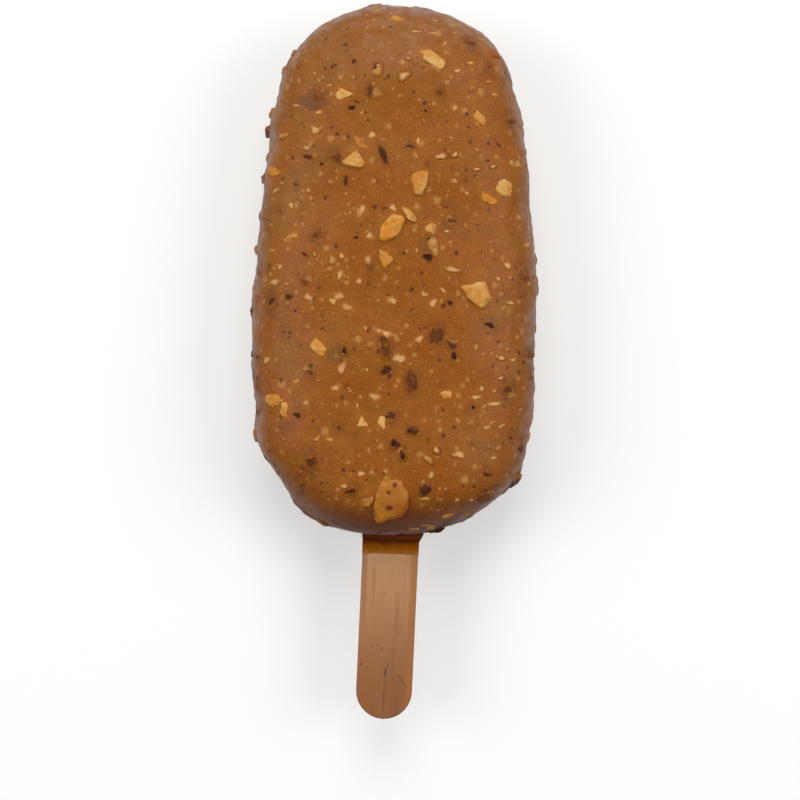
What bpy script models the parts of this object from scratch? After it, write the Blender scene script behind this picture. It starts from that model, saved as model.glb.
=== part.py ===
"""Ice cream bar on a flat wooden stick, lying on its back with the shown face up.

Units are metres. +Y runs along the bar to its rounded tip, +X to the right of the shown face and +Z up.
The origin is the middle of the small flat spot that the bar rests on.

Two sub-parts:
  bar    the coated ice cream, with the chopped nuts and dark flakes that stand out of its coating fused on
  stick  the wooden stick, pushed into a slot in the bar's blunt end
"""

import math
import random
from typing import NamedTuple

import bmesh
import bpy
import numpy as np
from mathutils import Matrix, Vector

MM = 0.001

# Outline of the bar, seen from the shown face
TIP_Y = 47.1 * MM
NECK_Y = -47.3 * MM
WIDEST_Y = -5.0 * MM
HALF_WIDTH = 25.2 * MM
TIP_TAPER = 5.6 * MM
TIP_TAPER_POWER = 1.3
NECK_TAPER = 2.0 * MM
TIP_CAP = 20.0 * MM
TIP_ROUND = 2.06
NECK_CAP = 22.0 * MM
NECK_ROUND = 2.69

# Swells (above 0) and dips of each side of the outline, at even stations from the neck to the tip
SWELL_STATIONS = np.linspace(-45.5, 45.5, 14) * MM
SWELL_REACH = 5.0 * MM
LEFT_SWELLS = MM * np.array(
    (-1.06, -2.59, 0.56, -0.74, -0.08, 0.09, -0.11, -0.31, -0.5, -0.04, -0.43, -0.6, 1.09, 2.22)
)
RIGHT_SWELLS = MM * np.array(
    (-3.94, 0.23, -0.21, -0.02, 0.54, 0.08, 0.23, 0.47, -0.26, 0.7, 0.61, -0.12, 1.33, 2.64)
)

# Thickness of the bar, from its back to the shown face
HALF_THICK = 12.0 * MM
THIN_TOWARDS_TIP = 0.7 * MM
THIN_TOWARDS_NECK = 0.4 * MM
TIP_THICK_CAP = 15.0 * MM
TIP_THICK_ROUND = 2.1
NECK_THICK_CAP = 10.0 * MM
NECK_THICK_ROUND = 2.3
SECTION_POWER = 2.75
END_SECTION_POWER = 2.2
REST_CUT = 0.18 * MM
MID_Z = HALF_THICK - REST_CUT

# Unevenness of the dipped coating: height, wavelengths and offsets of its slow waves
WAVE_HEIGHT = 0.15 * MM
WAVE_LENGTHS = (23.0 * MM, 31.0 * MM, 17.0 * MM)
WAVE_OFFSETS = (1.3, 2.1)
WAVES_FROM_FLOOR = 2.5 * MM
SPINE_SHARE = 0.6

# Wooden stick
STICK_WIDTH = 10.0 * MM
STICK_THICK = 2.0 * MM
STICK_SHOWN = 33.0 * MM
STICK_HIDDEN = 60.0 * MM
STICK_LEAN = math.radians(2.1)
STICK_EDGE = 0.3 * MM
STICK_ARC_STEPS = 14
STICK_SHARP = math.radians(50)

# Slot in the bar, and the drip of coating that runs down the stick: station and wall of each ring
SLOT_GAP = 0.3 * MM
SLOT_ARC_STEPS = 8
DRIP_RINGS = ((4.0 * MM, 1.8 * MM), (0.0, 1.1 * MM), (-0.6 * MM, 0.75 * MM), (-1.2 * MM, 0.55 * MM))
DRIP_POINTS = 28
DRIP_SQUARE = 0.45

# Mesh fineness
RINGS = 40
RING_POINTS = 56
SAME_PLACE = 0.004 * MM
SMOOTH_UP_TO = math.radians(40)

# Form of a chopped nut or flake: a broad top, five sides and a bottom, within a ball
CHUNK_SIDES = 5
CHUNK_SHARPNESS = 16.0
CHUNK_BALL = 1.1
TOP_LEAN = (0.05, 0.35)
TOP_DISTANCE = 0.6
BOTTOM_DISTANCE = 0.8
SIDE_DISTANCE = (0.62, 1.0)
SIDE_RISE = (-0.1, 0.6)
SIDE_JITTER = 0.4
DEPTH_BELOW = 0.3 * MM
FINE_FROM = 4.3 * MM

# Toppings spread all over
TOPPING_SEED = 7
SPREAD_COUNT = 92
SPREAD_LONGEST = 4.2 * MM
SPREAD_SHORTEST = 1.6 * MM
SPREAD_SHRINK = 0.6
SPREAD_TRIES = 6000
SPREAD_CLEARANCE = 0.7 * MM
SPREAD_WIDE = (0.55, 0.95)
SPREAD_RISE = (0.14, 0.26)
DARK_SHARE = 0.36
END_KEEP_OUT = 0.7 * MM
FLOOR_CLEARANCE = 0.1 * MM
REST_KEEP_OUT = 0.5 * MM
SHOWN_KEEP_OUT = 8.5 * MM
NECK_KEEP_OUT = 9.0 * MM
NECK_KEEP_OUT_LENGTH = 5.0 * MM
SMALL_ANGLE = 0.01


class Shown(NamedTuple):
    """One chopped nut or dark flake on the shown face, in millimetres and degrees."""

    x: float
    y: float
    long: float
    wide: float
    turn: float
    rise: float
    kind: str


# The largest toppings of the shown face, each where it lies
SHOWN_TOPPINGS = (
    Shown(-8.9, 30.0, 3.5, 2.6, 8, 0.50, "nut"),
    Shown(6.5, 36.1, 5.8, 3.3, -42, 0.85, "nut"),
    Shown(14.9, 26.4, 5.0, 2.5, -68, 0.60, "nut"),
    Shown(-7.0, 18.7, 4.3, 3.4, -15, 0.80, "nut"),
    Shown(4.4, 14.9, 3.7, 3.1, 80, 0.55, "nut"),
    Shown(-0.5, 6.9, 4.6, 3.6, 50, 0.85, "nut"),
    Shown(2.6, 8.8, 3.6, 2.4, -35, 0.60, "nut"),
    Shown(-1.3, 1.1, 3.9, 2.5, -70, 0.65, "nut"),
    Shown(19.4, 14.1, 5.5, 3.1, -85, 0.85, "nut"),
    Shown(16.4, 11.9, 4.0, 2.4, -45, 0.65, "nut"),
    Shown(15.4, -4.2, 6.2, 4.4, -60, 0.90, "nut"),
    Shown(6.9, 3.5, 3.4, 2.0, -80, 0.40, "nut"),
    Shown(-12.9, -14.0, 4.4, 3.0, -60, 0.60, "nut"),
    Shown(-21.1, -23.5, 3.8, 3.2, -30, 0.85, "nut"),
    Shown(-18.8, -25.1, 4.6, 1.7, -85, 0.75, "nut"),
    Shown(-0.6, -41.0, 7.0, 5.4, 75, 1.00, "nut"),
    Shown(-4.6, -41.0, 3.0, 2.4, 70, 0.50, "nut"),
    Shown(-5.1, -27.1, 2.4, 2.2, 90, 0.35, "nut"),
    Shown(-18.1, 4.9, 3.2, 1.9, 30, 0.35, "nut"),
    Shown(6.4, 6.7, 2.2, 2.0, 0, 0.35, "nut"),
    Shown(-1.7, -27.2, 2.5, 1.6, -85, 0.33, "nut"),
    Shown(9.6, -22.2, 2.6, 1.8, 10, 0.33, "nut"),
    Shown(-5.7, 21.1, 2.7, 1.8, -40, 0.35, "nut"),
    Shown(-1.8, 19.2, 4.9, 1.2, -65, 0.40, "flake"),
    Shown(-10.5, 19.0, 2.6, 2.2, 0, 0.20, "flake"),
    Shown(-13.3, 5.2, 2.5, 2.0, 40, 0.20, "flake"),
    Shown(-1.2, -13.7, 4.4, 2.2, -80, 0.25, "flake"),
    Shown(7.6, -11.8, 3.3, 2.7, 90, 0.25, "flake"),
    Shown(3.4, -20.2, 4.4, 2.3, 90, 0.25, "flake"),
    Shown(-14.0, -34.0, 3.0, 2.4, 90, 0.25, "flake"),
    Shown(5.8, -38.7, 2.8, 2.2, 45, 0.30, "flake"),
    Shown(3.8, -28.5, 2.4, 1.6, 0, 0.25, "flake"),
    Shown(-13.5, 29.4, 3.0, 2.2, -30, 0.20, "flake"),
    Shown(-4.2, 30.7, 2.3, 1.6, 80, 0.20, "flake"),
    Shown(10.0, 7.9, 2.5, 1.6, 0, 0.20, "flake"),
    Shown(0.0, -26.1, 2.3, 1.9, 0, 0.20, "flake"),
    Shown(-9.3, -28.0, 2.5, 1.4, -70, 0.20, "flake"),
)


class Topping(NamedTuple):
    """One topping by its place along the bar and the angle round the section, where 0 is +X and 90 is up."""

    y: float
    around: float
    long: float
    wide: float
    turn: float
    rise: float
    kind: str


# Toppings that break the outline
EDGE_TOPPINGS = (
    Topping(46.5, 128, 4.2, 2.8, 45, 0.90, "nut"),
    Topping(37.7, 28, 3.0, 2.6, 0, 0.95, "nut"),
    Topping(38.6, 172, 2.4, 2.0, 90, 0.85, "nut"),
    Topping(35.3, 172, 2.9, 2.4, 90, 0.95, "nut"),
    Topping(27.7, 178, 2.5, 2.2, 90, 1.10, "nut"),
    Topping(24.7, 180, 2.4, 2.2, 90, 1.05, "flake"),
    Topping(20.0, 178, 2.2, 1.6, 90, 0.45, "nut"),
    Topping(16.3, 177, 2.4, 2.1, 90, 0.95, "flake"),
    Topping(9.3, 176, 2.2, 1.8, 90, 0.50, "flake"),
    Topping(3.4, 178, 2.0, 1.7, 90, 0.70, "nut"),
    Topping(2.1, 4, 3.2, 2.4, 90, 0.70, "nut"),
    Topping(-2.2, 0, 4.2, 2.4, 90, 0.75, "nut"),
    Topping(-7.3, 178, 2.9, 1.9, 90, 0.60, "flake"),
    Topping(-15.4, 176, 2.3, 1.8, 90, 0.60, "flake"),
    Topping(-29.6, 182, 3.2, 1.9, 90, 0.60, "nut"),
    Topping(-34.2, 176, 2.2, 1.6, 90, 0.35, "flake"),
    Topping(-37.4, 6, 4.2, 3.0, 90, 1.35, "flake"),
    Topping(-46.2, 21, 4.0, 2.4, 90, 1.05, "flake"),
    Topping(-46.4, 65, 2.3, 1.9, 90, 0.40, "nut"),
    Topping(-46.0, 45, 2.6, 1.8, 90, 0.45, "nut"),
    Topping(-45.3, 165, 3.0, 2.0, 90, 0.60, "nut"),
    Topping(-41.0, 170, 2.6, 1.8, 90, 0.40, "flake"),
    Topping(-43.6, 12, 2.2, 1.6, 90, 0.40, "nut"),
    Topping(26.8, 4, 2.8, 2.0, 90, 0.40, "nut"),
)


def clear_scene():
    """Removes whatever the file holds before modelling starts."""
    for old in list(bpy.data.objects):
        bpy.data.objects.remove(old, do_unlink=True)


def cap(inwards, depth, power):
    """Rounds an end off: 0 at the end, 1 from depth inwards, along a superellipse of that power."""
    short = np.clip(1 - inwards / depth, 0, 1)
    return (1 - short**power) ** (1 / power)


def towards_tip(y):
    """0 up to the widest station and 1 at the tip."""
    return np.clip((y - WIDEST_Y) / (TIP_Y - WIDEST_Y), 0, 1)


def towards_neck(y):
    """0 down to the widest station and 1 at the neck."""
    return np.clip((WIDEST_Y - y) / (WIDEST_Y - NECK_Y), 0, 1)


def half_width(y, x):
    """The bar's width at station y from its middle to the side on which x lies."""
    taper = TIP_TAPER * towards_tip(y) ** TIP_TAPER_POWER + NECK_TAPER * towards_neck(y) ** 2
    bells = np.exp(-(((np.asarray(y)[..., None] - SWELL_STATIONS) / SWELL_REACH) ** 2))
    swell = np.where(np.asarray(x) < 0, bells @ LEFT_SWELLS, bells @ RIGHT_SWELLS)
    ends = cap(TIP_Y - y, TIP_CAP, TIP_ROUND) * cap(y - NECK_Y, NECK_CAP, NECK_ROUND)
    return (HALF_WIDTH - taper + swell) * ends


def half_thick(y):
    """Half the bar's thickness at station y, before the resting spot is flattened."""
    body = HALF_THICK - THIN_TOWARDS_TIP * towards_tip(y) ** 2 - THIN_TOWARDS_NECK * towards_neck(y) ** 2
    tip = cap(TIP_Y - y, TIP_THICK_CAP, TIP_THICK_ROUND)
    neck = cap(y - NECK_Y, NECK_THICK_CAP, NECK_THICK_ROUND)
    return body * tip * neck


def section_power(y):
    """How square the section is at station y: squarest along the middle and rounder at the ends."""
    ends = np.maximum(towards_tip(y), towards_neck(y)) ** 3
    return SECTION_POWER + (END_SECTION_POWER - SECTION_POWER) * ends


def signed_power(value, power):
    """value raised to power, with its own sign kept."""
    return np.sign(value) * np.abs(value) ** power


def even_skin(around, y):
    """A point of the skin without its waves: on the superellipse section at station y, at that angle."""
    power = 2 / section_power(y)
    side = np.cos(around)
    x = half_width(y, side) * signed_power(side, power)
    z = half_thick(y) * signed_power(np.sin(around), power)
    return np.stack([x, y + 0 * x, z + MID_Z], axis=-1)


def waves(point):
    """Height of the coating's slow waves at a point: three crossed sines, fading out near the floor."""
    x, y, z = (2 * math.pi * point[..., i] for i in range(3))
    a, b, c = WAVE_LENGTHS
    second, third = WAVE_OFFSETS
    height = np.sin(x / a + y / b) + np.sin(y / c - z / a + second) + np.sin(z / c + x / b - y / a + third)
    return WAVE_HEIGHT * height * np.clip(point[..., 2] / WAVES_FROM_FLOOR, 0, 1)


def skin_frame(around, y):
    """Point, outward normal and the two directions along the skin, by differences of the even skin."""
    step = SMALL_ANGLE * 0.01
    here = even_skin(around, y)
    along_u = even_skin(around + step, y) - even_skin(around - step, y)
    low, high = max(NECK_Y, y - step * MM), min(TIP_Y, y + step * MM)
    along_y = even_skin(around, high) - even_skin(around, low)
    normal = np.cross(along_y, along_u)
    normal = normal / np.linalg.norm(normal)
    across = -along_u / np.linalg.norm(along_u)
    return here, normal, across, np.cross(normal, across)


def skin(around, y):
    """A point of the coated skin: the even skin moved by its waves, and flat where the bar rests."""
    here = even_skin(around, y)
    spine = np.stack([0 * here[..., 0], SPINE_SHARE * here[..., 1], MID_Z + 0 * here[..., 2]], axis=-1)
    outwards = here - spine
    outwards = outwards / np.linalg.norm(outwards, axis=-1, keepdims=True)
    there = here + outwards * waves(here)[..., None]
    there[..., 2] = np.maximum(there[..., 2], 0.0)
    return there


def new_object(name, mesh, material=None, collection=None):
    """Adds a mesh as a named object, in the scene's own collection unless another is given."""
    made = bpy.data.objects.new(name, mesh)
    (collection or bpy.context.scene.collection).objects.link(made)
    if material is not None:
        mesh.materials.append(material)
    return made


def finished_mesh(name, shape):
    """Turns a bmesh into a mesh whose faces point outwards."""
    bmesh.ops.recalc_face_normals(shape, faces=shape.faces)
    mesh = bpy.data.meshes.new(name)
    shape.to_mesh(mesh)
    shape.free()
    return mesh


def material(name, colour, roughness):
    """A plain Principled material."""
    made = bpy.data.materials.new(name)
    made.use_nodes = True
    shader = made.node_tree.nodes["Principled BSDF"]
    shader.inputs["Base Color"].default_value = (*colour, 1.0)
    shader.inputs["Roughness"].default_value = roughness
    shader.inputs["Metallic"].default_value = 0.0
    return made


def join_loops(shape, loops):
    """Fills the faces between each two neighbouring closed loops of vertices."""
    for upper, lower in zip(loops, loops[1:]):
        for i in range(len(upper)):
            j = (i + 1) % len(upper)
            shape.faces.new((upper[i], upper[j], lower[j], lower[i]))


def coated_body(coating):
    """The bar without toppings: rings of the skin from tip to neck, closed by a point at each end."""
    turns = [math.pi * i / RINGS for i in range(1, RINGS)]
    stations = [0.5 * (TIP_Y + NECK_Y) + 0.5 * (TIP_Y - NECK_Y) * math.cos(turn) for turn in turns]
    angles = np.arange(RING_POINTS) * 2 * math.pi / RING_POINTS
    shape = bmesh.new()
    rings = [[shape.verts.new(point) for point in skin(angles, np.full(RING_POINTS, y))] for y in stations]
    join_loops(shape, rings)
    for end, ring in ((TIP_Y, rings[0]), (NECK_Y, rings[-1])):
        point = shape.verts.new((0, end, MID_Z))
        for i in range(RING_POINTS):
            shape.faces.new((point, ring[i], ring[(i + 1) % RING_POINTS]))
    return new_object("bar", finished_mesh("bar", shape), coating)


def chunk_planes(draw):
    """Directions and distances of a chunk's faces: a slightly leaning top, the sides and the bottom."""
    turn = draw.uniform(0, 2 * math.pi)
    lean = draw.uniform(*TOP_LEAN)
    rows = [(math.sin(lean) * math.cos(turn), math.sin(lean) * math.sin(turn), math.cos(lean), TOP_DISTANCE)]
    for i in range(CHUNK_SIDES):
        angle = turn + 2 * math.pi * i / CHUNK_SIDES + draw.uniform(-SIDE_JITTER, SIDE_JITTER)
        up = draw.uniform(*SIDE_RISE)
        flat = math.sqrt(1 - up * up)
        rows.append((flat * math.cos(angle), flat * math.sin(angle), up, draw.uniform(*SIDE_DISTANCE)))
    rows.append((0.0, 0.0, -1.0, BOTTOM_DISTANCE))
    return np.array(rows)


def chunk_points(directions, draw, long, wide, deep):
    """Points of a chunk in its own directions: the soft smallest distance to its planes, fitted to size."""
    planes = chunk_planes(draw)
    facing = np.maximum(directions @ planes[:, :3].T, 0) / planes[:, 3]
    nearest = (facing**CHUNK_SHARPNESS).sum(axis=-1) + CHUNK_BALL**-CHUNK_SHARPNESS
    local = directions * (nearest ** (-1 / CHUNK_SHARPNESS))[:, None]
    low, high = local.min(axis=0), local.max(axis=0)
    return (local - 0.5 * (low + high)) / (high - low) * np.array([long, wide, deep])


def topping_object(name, row, draw, helpers):
    """One topping as a closed chunk, sunk in the skin so that it stands out of it by its rise."""
    here, normal, across, along = skin_frame(math.radians(row.around), row.y * MM)
    rise = row.rise * MM
    deep = 2 * rise + DEPTH_BELOW
    shape = bmesh.new()
    fineness = 2 if row.long * MM >= FINE_FROM else 1
    bmesh.ops.create_icosphere(shape, subdivisions=fineness, radius=1.0)
    directions = np.array([vertex.co.normalized() for vertex in shape.verts])
    local = chunk_points(directions, draw, row.long * MM, row.wide * MM, deep)
    cos, sin = math.cos(math.radians(row.turn)), math.sin(math.radians(row.turn))
    axes = np.array([cos * across + sin * along, cos * along - sin * across, normal])
    placed = here + normal * (waves(here) + rise - 0.5 * deep) + local @ axes
    placed[:, 2] = np.maximum(placed[:, 2], FLOOR_CLEARANCE)
    for vertex, point in zip(shape.verts, placed):
        vertex.co = point
    return new_object(name, finished_mesh(name, shape), collection=helpers)


def shown_angle(x, y):
    """The angle round the section at which the shown face has this x, in degrees."""
    share = min(abs(x) / float(half_width(y, x)), 1.0)
    angle = math.degrees(math.acos(share ** (float(section_power(y)) / 2)))
    return angle if x >= 0 else 180 - angle


def free_place(here, y, long, taken):
    """Whether a topping fits: off the resting spot, the shown face and the stick, and clear of the others."""
    in_neck = y < NECK_Y + NECK_KEEP_OUT_LENGTH and abs(here[0]) < NECK_KEEP_OUT
    if here[2] < REST_KEEP_OUT or here[2] > MID_Z + SHOWN_KEEP_OUT or in_neck:
        return False
    gaps = [np.linalg.norm(here - there) - 0.5 * (long + other) for there, other in taken]
    return min(gaps) >= SPREAD_CLEARANCE


def spread_toppings(taken, draw):
    """Further toppings all round, largest first: random places, kept where they lie clear of those before."""
    found = []
    for _ in range(SPREAD_TRIES):
        if len(found) == SPREAD_COUNT:
            break
        share = len(found) / SPREAD_COUNT
        long = SPREAD_LONGEST + (SPREAD_SHORTEST - SPREAD_LONGEST) * share**SPREAD_SHRINK
        y = draw.uniform(NECK_Y + END_KEEP_OUT, TIP_Y - END_KEEP_OUT)
        around = draw.uniform(0, 2 * math.pi)
        here = even_skin(around, y)
        step = float(np.linalg.norm(even_skin(around + SMALL_ANGLE, y) - here)) / SMALL_ANGLE
        if draw.uniform(0, HALF_WIDTH) > step or not free_place(here, y, long, taken):
            continue
        taken.append((here, long))
        wide = long * draw.uniform(*SPREAD_WIDE)
        kind = "flake" if draw.random() < DARK_SHARE else "nut"
        rise = min(wide * draw.uniform(*SPREAD_RISE), here[2])
        turn = draw.uniform(0, 360)
        found.append(Topping(y / MM, math.degrees(around), long / MM, wide / MM, turn, rise / MM, kind))
    return found


def toppings():
    """Every topping: those of the shown face, those of the outline, and the spread ones."""
    rows = [Topping(t.y, shown_angle(t.x * MM, t.y * MM), *t[2:]) for t in SHOWN_TOPPINGS]
    rows += EDGE_TOPPINGS
    taken = [(even_skin(math.radians(row.around), row.y * MM), row.long * MM) for row in rows]
    return rows + spread_toppings(taken, random.Random(TOPPING_SEED))


def paddle(name, high, low, grow, steps):
    """The stick's flat form with round ends, along Y from low to high, grown by grow all over."""
    radius = STICK_WIDTH / 2 + grow
    outline = []
    for middle, start in ((high + grow - radius, 0.0), (low - grow + radius, math.pi)):
        for i in range(steps + 1):
            angle = start + math.pi * i / steps
            outline.append((radius * math.cos(angle), middle + radius * math.sin(angle)))
    half = STICK_THICK / 2 + grow
    shape = bmesh.new()
    bottom = shape.faces.new([shape.verts.new((x, y, -half)) for x, y in outline])
    top = bmesh.ops.extrude_face_region(shape, geom=[bottom])["geom"]
    raised = [part for part in top if isinstance(part, bmesh.types.BMVert)]
    bmesh.ops.translate(shape, vec=Vector((0, 0, 2 * half)), verts=raised)
    return finished_mesh(name, shape)


def stick_place():
    """Where the stick stands: its own origin at the neck, leaning a little in the plane of the bar."""
    return Matrix.Translation((0, NECK_Y, MID_Z)) @ Matrix.Rotation(-STICK_LEAN, 4, "Z")


def wooden_stick(wood):
    """The stick, with its long edges eased."""
    made = new_object("stick", paddle("stick", STICK_HIDDEN, -STICK_SHOWN, 0.0, STICK_ARC_STEPS), wood)
    made.matrix_world = stick_place()
    ease = made.modifiers.new("eased edges", "BEVEL")
    ease.width = STICK_EDGE
    ease.segments = 2
    ease.limit_method = "ANGLE"
    ease.angle_limit = STICK_SHARP
    return made


def drip(helpers):
    """The tapered drip of coating round the stick, from inside the bar down to its thin lower edge."""
    shape = bmesh.new()
    angles = np.arange(DRIP_POINTS) * 2 * math.pi / DRIP_POINTS
    loops = []
    for y, wall in DRIP_RINGS:
        x = (STICK_WIDTH / 2 + wall) * signed_power(np.cos(angles), DRIP_SQUARE)
        z = (STICK_THICK / 2 + wall) * signed_power(np.sin(angles), DRIP_SQUARE)
        loops.append([shape.verts.new(point) for point in np.stack([x, y + 0 * x, z], axis=-1)])
    join_loops(shape, loops)
    shape.faces.new(loops[0])
    shape.faces.new(loops[-1])
    made = new_object("drip", finished_mesh("drip", shape), collection=helpers)
    made.matrix_world = stick_place()
    return made


def apply_boolean(target, operation, collection=None, cutter=None):
    """Adds a Boolean to target and makes its result the target's own mesh."""
    modifier = target.modifiers.new(operation.lower(), "BOOLEAN")
    modifier.operation = operation
    modifier.solver = "EXACT"
    if collection is not None:
        modifier.operand_type = "COLLECTION"
        modifier.collection = collection
    else:
        modifier.object = cutter
    bpy.context.view_layer.update()
    graph = bpy.context.evaluated_depsgraph_get()
    result = bpy.data.meshes.new_from_object(target.evaluated_get(graph))
    target.modifiers.remove(modifier)
    old = target.data
    target.data = result
    bpy.data.meshes.remove(old)
    result.name = target.name


def build_bar(coating):
    """The coated bar with its toppings and drip fused on and the stick's slot cut out."""
    bar = coated_body(coating)
    helpers = bpy.data.collections.new("fused on")
    bpy.context.scene.collection.children.link(helpers)
    drip(helpers)
    draw = random.Random(TOPPING_SEED + 1)
    for number, row in enumerate(toppings()):
        topping_object(f"{row.kind}_{number}", row, draw, helpers)
    apply_boolean(bar, "UNION", collection=helpers)
    for helper in list(helpers.objects):
        bpy.data.objects.remove(helper, do_unlink=True)
    bpy.data.collections.remove(helpers)
    slot = new_object("slot", paddle("slot", STICK_HIDDEN, -STICK_SHOWN, SLOT_GAP, SLOT_ARC_STEPS))
    slot.matrix_world = stick_place()
    apply_boolean(bar, "DIFFERENCE", cutter=slot)
    bpy.data.objects.remove(slot, do_unlink=True)
    keep_largest_piece(bar.data)
    bar.data.set_sharp_from_angle(angle=SMOOTH_UP_TO)
    bar.data.shade_smooth()
    return bar


def islands(shape):
    """The sets of vertices that edges join, largest first."""
    found = []
    seen = set()
    for first in shape.verts:
        if first in seen:
            continue
        island = {first}
        queue = [first]
        while queue:
            joined = {vertex for edge in queue.pop().link_edges for vertex in edge.verts} - island
            island |= joined
            queue.extend(joined)
        seen |= island
        found.append(island)
    return sorted(found, key=len, reverse=True)


def keep_largest_piece(mesh):
    """Triangulates the mesh, merges what lies together and drops any scrap that is not joined to the bar."""
    shape = bmesh.new()
    shape.from_mesh(mesh)
    bmesh.ops.triangulate(shape, faces=shape.faces)
    bmesh.ops.remove_doubles(shape, verts=shape.verts, dist=SAME_PLACE)
    bmesh.ops.dissolve_degenerate(shape, edges=shape.edges, dist=SAME_PLACE)
    bmesh.ops.triangulate(shape, faces=shape.faces)
    loose = [vertex for island in islands(shape)[1:] for vertex in island]
    bmesh.ops.delete(shape, geom=loose, context="VERTS")
    shape.to_mesh(mesh)
    shape.free()


def main():
    """Models the two sub-parts."""
    clear_scene()
    coating = material("coating", (0.32, 0.105, 0.019), 0.45)
    wood = material("wood", (0.52, 0.30, 0.15), 0.65)
    build_bar(coating)
    wooden_stick(wood)


main()
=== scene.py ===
"""Ice cream bar on a wooden stick, dressed for a picture taken from straight above.

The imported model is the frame: metres, +Y towards the bar's rounded tip, +X to the right of the shown face,
+Z up and the floor at 0. The coating, nuts, flakes, drip and caramel film are surfaces worked out with numpy,
from the same rules as the solid that they stand for. The stick keeps its solid and gets a wood finish.
"""

import logging
import math
import random
from dataclasses import dataclass
from enum import Enum

import bpy
import numpy as np
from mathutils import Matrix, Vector


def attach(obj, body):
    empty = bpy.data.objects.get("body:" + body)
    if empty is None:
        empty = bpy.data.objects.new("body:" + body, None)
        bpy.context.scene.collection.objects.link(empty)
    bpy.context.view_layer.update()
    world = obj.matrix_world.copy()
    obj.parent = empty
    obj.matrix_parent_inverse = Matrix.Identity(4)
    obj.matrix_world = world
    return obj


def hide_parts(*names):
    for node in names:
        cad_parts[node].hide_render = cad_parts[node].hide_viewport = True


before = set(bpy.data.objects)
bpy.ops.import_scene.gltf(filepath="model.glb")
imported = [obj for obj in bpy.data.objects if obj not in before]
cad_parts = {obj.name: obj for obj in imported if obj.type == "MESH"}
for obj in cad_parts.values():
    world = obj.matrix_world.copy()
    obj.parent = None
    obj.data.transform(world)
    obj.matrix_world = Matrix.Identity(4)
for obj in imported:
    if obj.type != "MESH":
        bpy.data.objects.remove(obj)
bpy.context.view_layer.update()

MM = 0.001
SHORTEST = 1e-12
BODY = "root"
LOG = logging.getLogger("ice_cream_bar")

Colour = tuple[float, float, float, float]


class Kind(Enum):
    """What a topping is."""

    NUT = "nut"
    FLAKE = "flake"


@dataclass(frozen=True)
class Topping:
    """One topping: its place along the bar and round it, its size, its turn, its kind and its look.

    y, long, wide and rise are in millimetres, around and turn in degrees. tone runs from 0, cream, to 1,
    orange, on a nut, and from 0, near black, to 1, greyish brown, on a flake. cover is the share that the
    coating hides.
    """

    y: float
    around: float
    long: float
    wide: float
    turn: float
    rise: float
    kind: Kind
    tone: float
    cover: float


# The largest toppings of the shown face: x, y, long, wide, turn, rise, tone, cover
SHOWN_NUTS = (
    (-8.9, 30.0, 3.5, 2.6, 8, 0.50, 0.20, 0.00),
    (6.5, 36.1, 5.8, 3.3, -42, 0.85, 0.25, 0.05),
    (14.9, 26.4, 5.0, 2.5, -68, 0.60, 0.65, 0.20),
    (-7.0, 18.7, 4.3, 3.4, -15, 0.80, 0.65, 0.05),
    (4.4, 14.9, 3.7, 3.1, 80, 0.55, 0.55, 0.25),
    (-0.5, 6.9, 4.6, 3.6, 50, 0.85, 0.85, 0.00),
    (2.6, 8.8, 3.6, 2.4, -35, 0.60, 0.45, 0.15),
    (-1.3, 1.1, 3.9, 2.5, -70, 0.65, 0.80, 0.15),
    (19.4, 14.1, 5.5, 3.1, -85, 0.85, 0.20, 0.05),
    (16.4, 11.9, 4.0, 2.4, -45, 0.65, 0.85, 0.15),
    (15.4, -4.2, 6.2, 4.4, -60, 0.90, 0.40, 0.10),
    (6.9, 3.5, 3.4, 2.0, -80, 0.40, 0.30, 0.55),
    (-12.9, -14.0, 4.4, 3.0, -60, 0.60, 0.55, 0.05),
    (-21.1, -23.5, 3.8, 3.2, -30, 0.85, 0.50, 0.10),
    (-18.8, -25.1, 4.6, 1.7, -85, 0.75, 0.40, 0.15),
    (-0.6, -41.0, 7.0, 5.4, 75, 1.00, 1.10, 0.15),
    (-4.6, -41.0, 3.0, 2.4, 70, 0.50, 0.60, 0.45),
    (-5.1, -27.1, 2.4, 2.2, 90, 0.35, 0.10, 0.00),
    (-18.1, 4.9, 3.2, 1.9, 30, 0.35, 0.25, 0.40),
    (6.4, 6.7, 2.2, 2.0, 0, 0.35, 0.15, 0.10),
    (-1.7, -27.2, 2.5, 1.6, -85, 0.33, 0.10, 0.00),
    (9.6, -22.2, 2.6, 1.8, 10, 0.33, 0.10, 0.10),
    (-5.7, 21.1, 2.7, 1.8, -40, 0.35, 0.60, 0.50),
)
SHOWN_FLAKES = (
    (-1.8, 19.2, 4.9, 1.2, -65, 0.40, 0.30, 0.00),
    (-10.5, 19.0, 2.6, 2.2, 0, 0.20, 0.35, 0.15),
    (-13.3, 5.2, 2.5, 2.0, 40, 0.20, 0.60, 0.40),
    (-1.2, -13.7, 4.4, 2.2, -80, 0.25, 0.30, 0.35),
    (7.6, -11.8, 3.3, 2.7, 90, 0.25, 0.50, 0.20),
    (3.4, -20.2, 4.4, 2.3, 90, 0.25, 0.25, 0.15),
    (-14.0, -34.0, 3.0, 2.4, 90, 0.25, 0.30, 0.10),
    (5.8, -38.7, 2.8, 2.2, 45, 0.30, 0.15, 0.15),
    (3.8, -28.5, 2.4, 1.6, 0, 0.25, 0.00, 0.05),
    (-13.5, 29.4, 3.0, 2.2, -30, 0.20, 1.00, 0.35),
    (-4.2, 30.7, 2.3, 1.6, 80, 0.20, 0.50, 0.25),
    (10.0, 7.9, 2.5, 1.6, 0, 0.20, 0.40, 0.25),
    (0.0, -26.1, 2.3, 1.9, 0, 0.20, 0.25, 0.15),
    (-9.3, -28.0, 2.5, 1.4, -70, 0.20, 0.30, 0.20),
)

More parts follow.
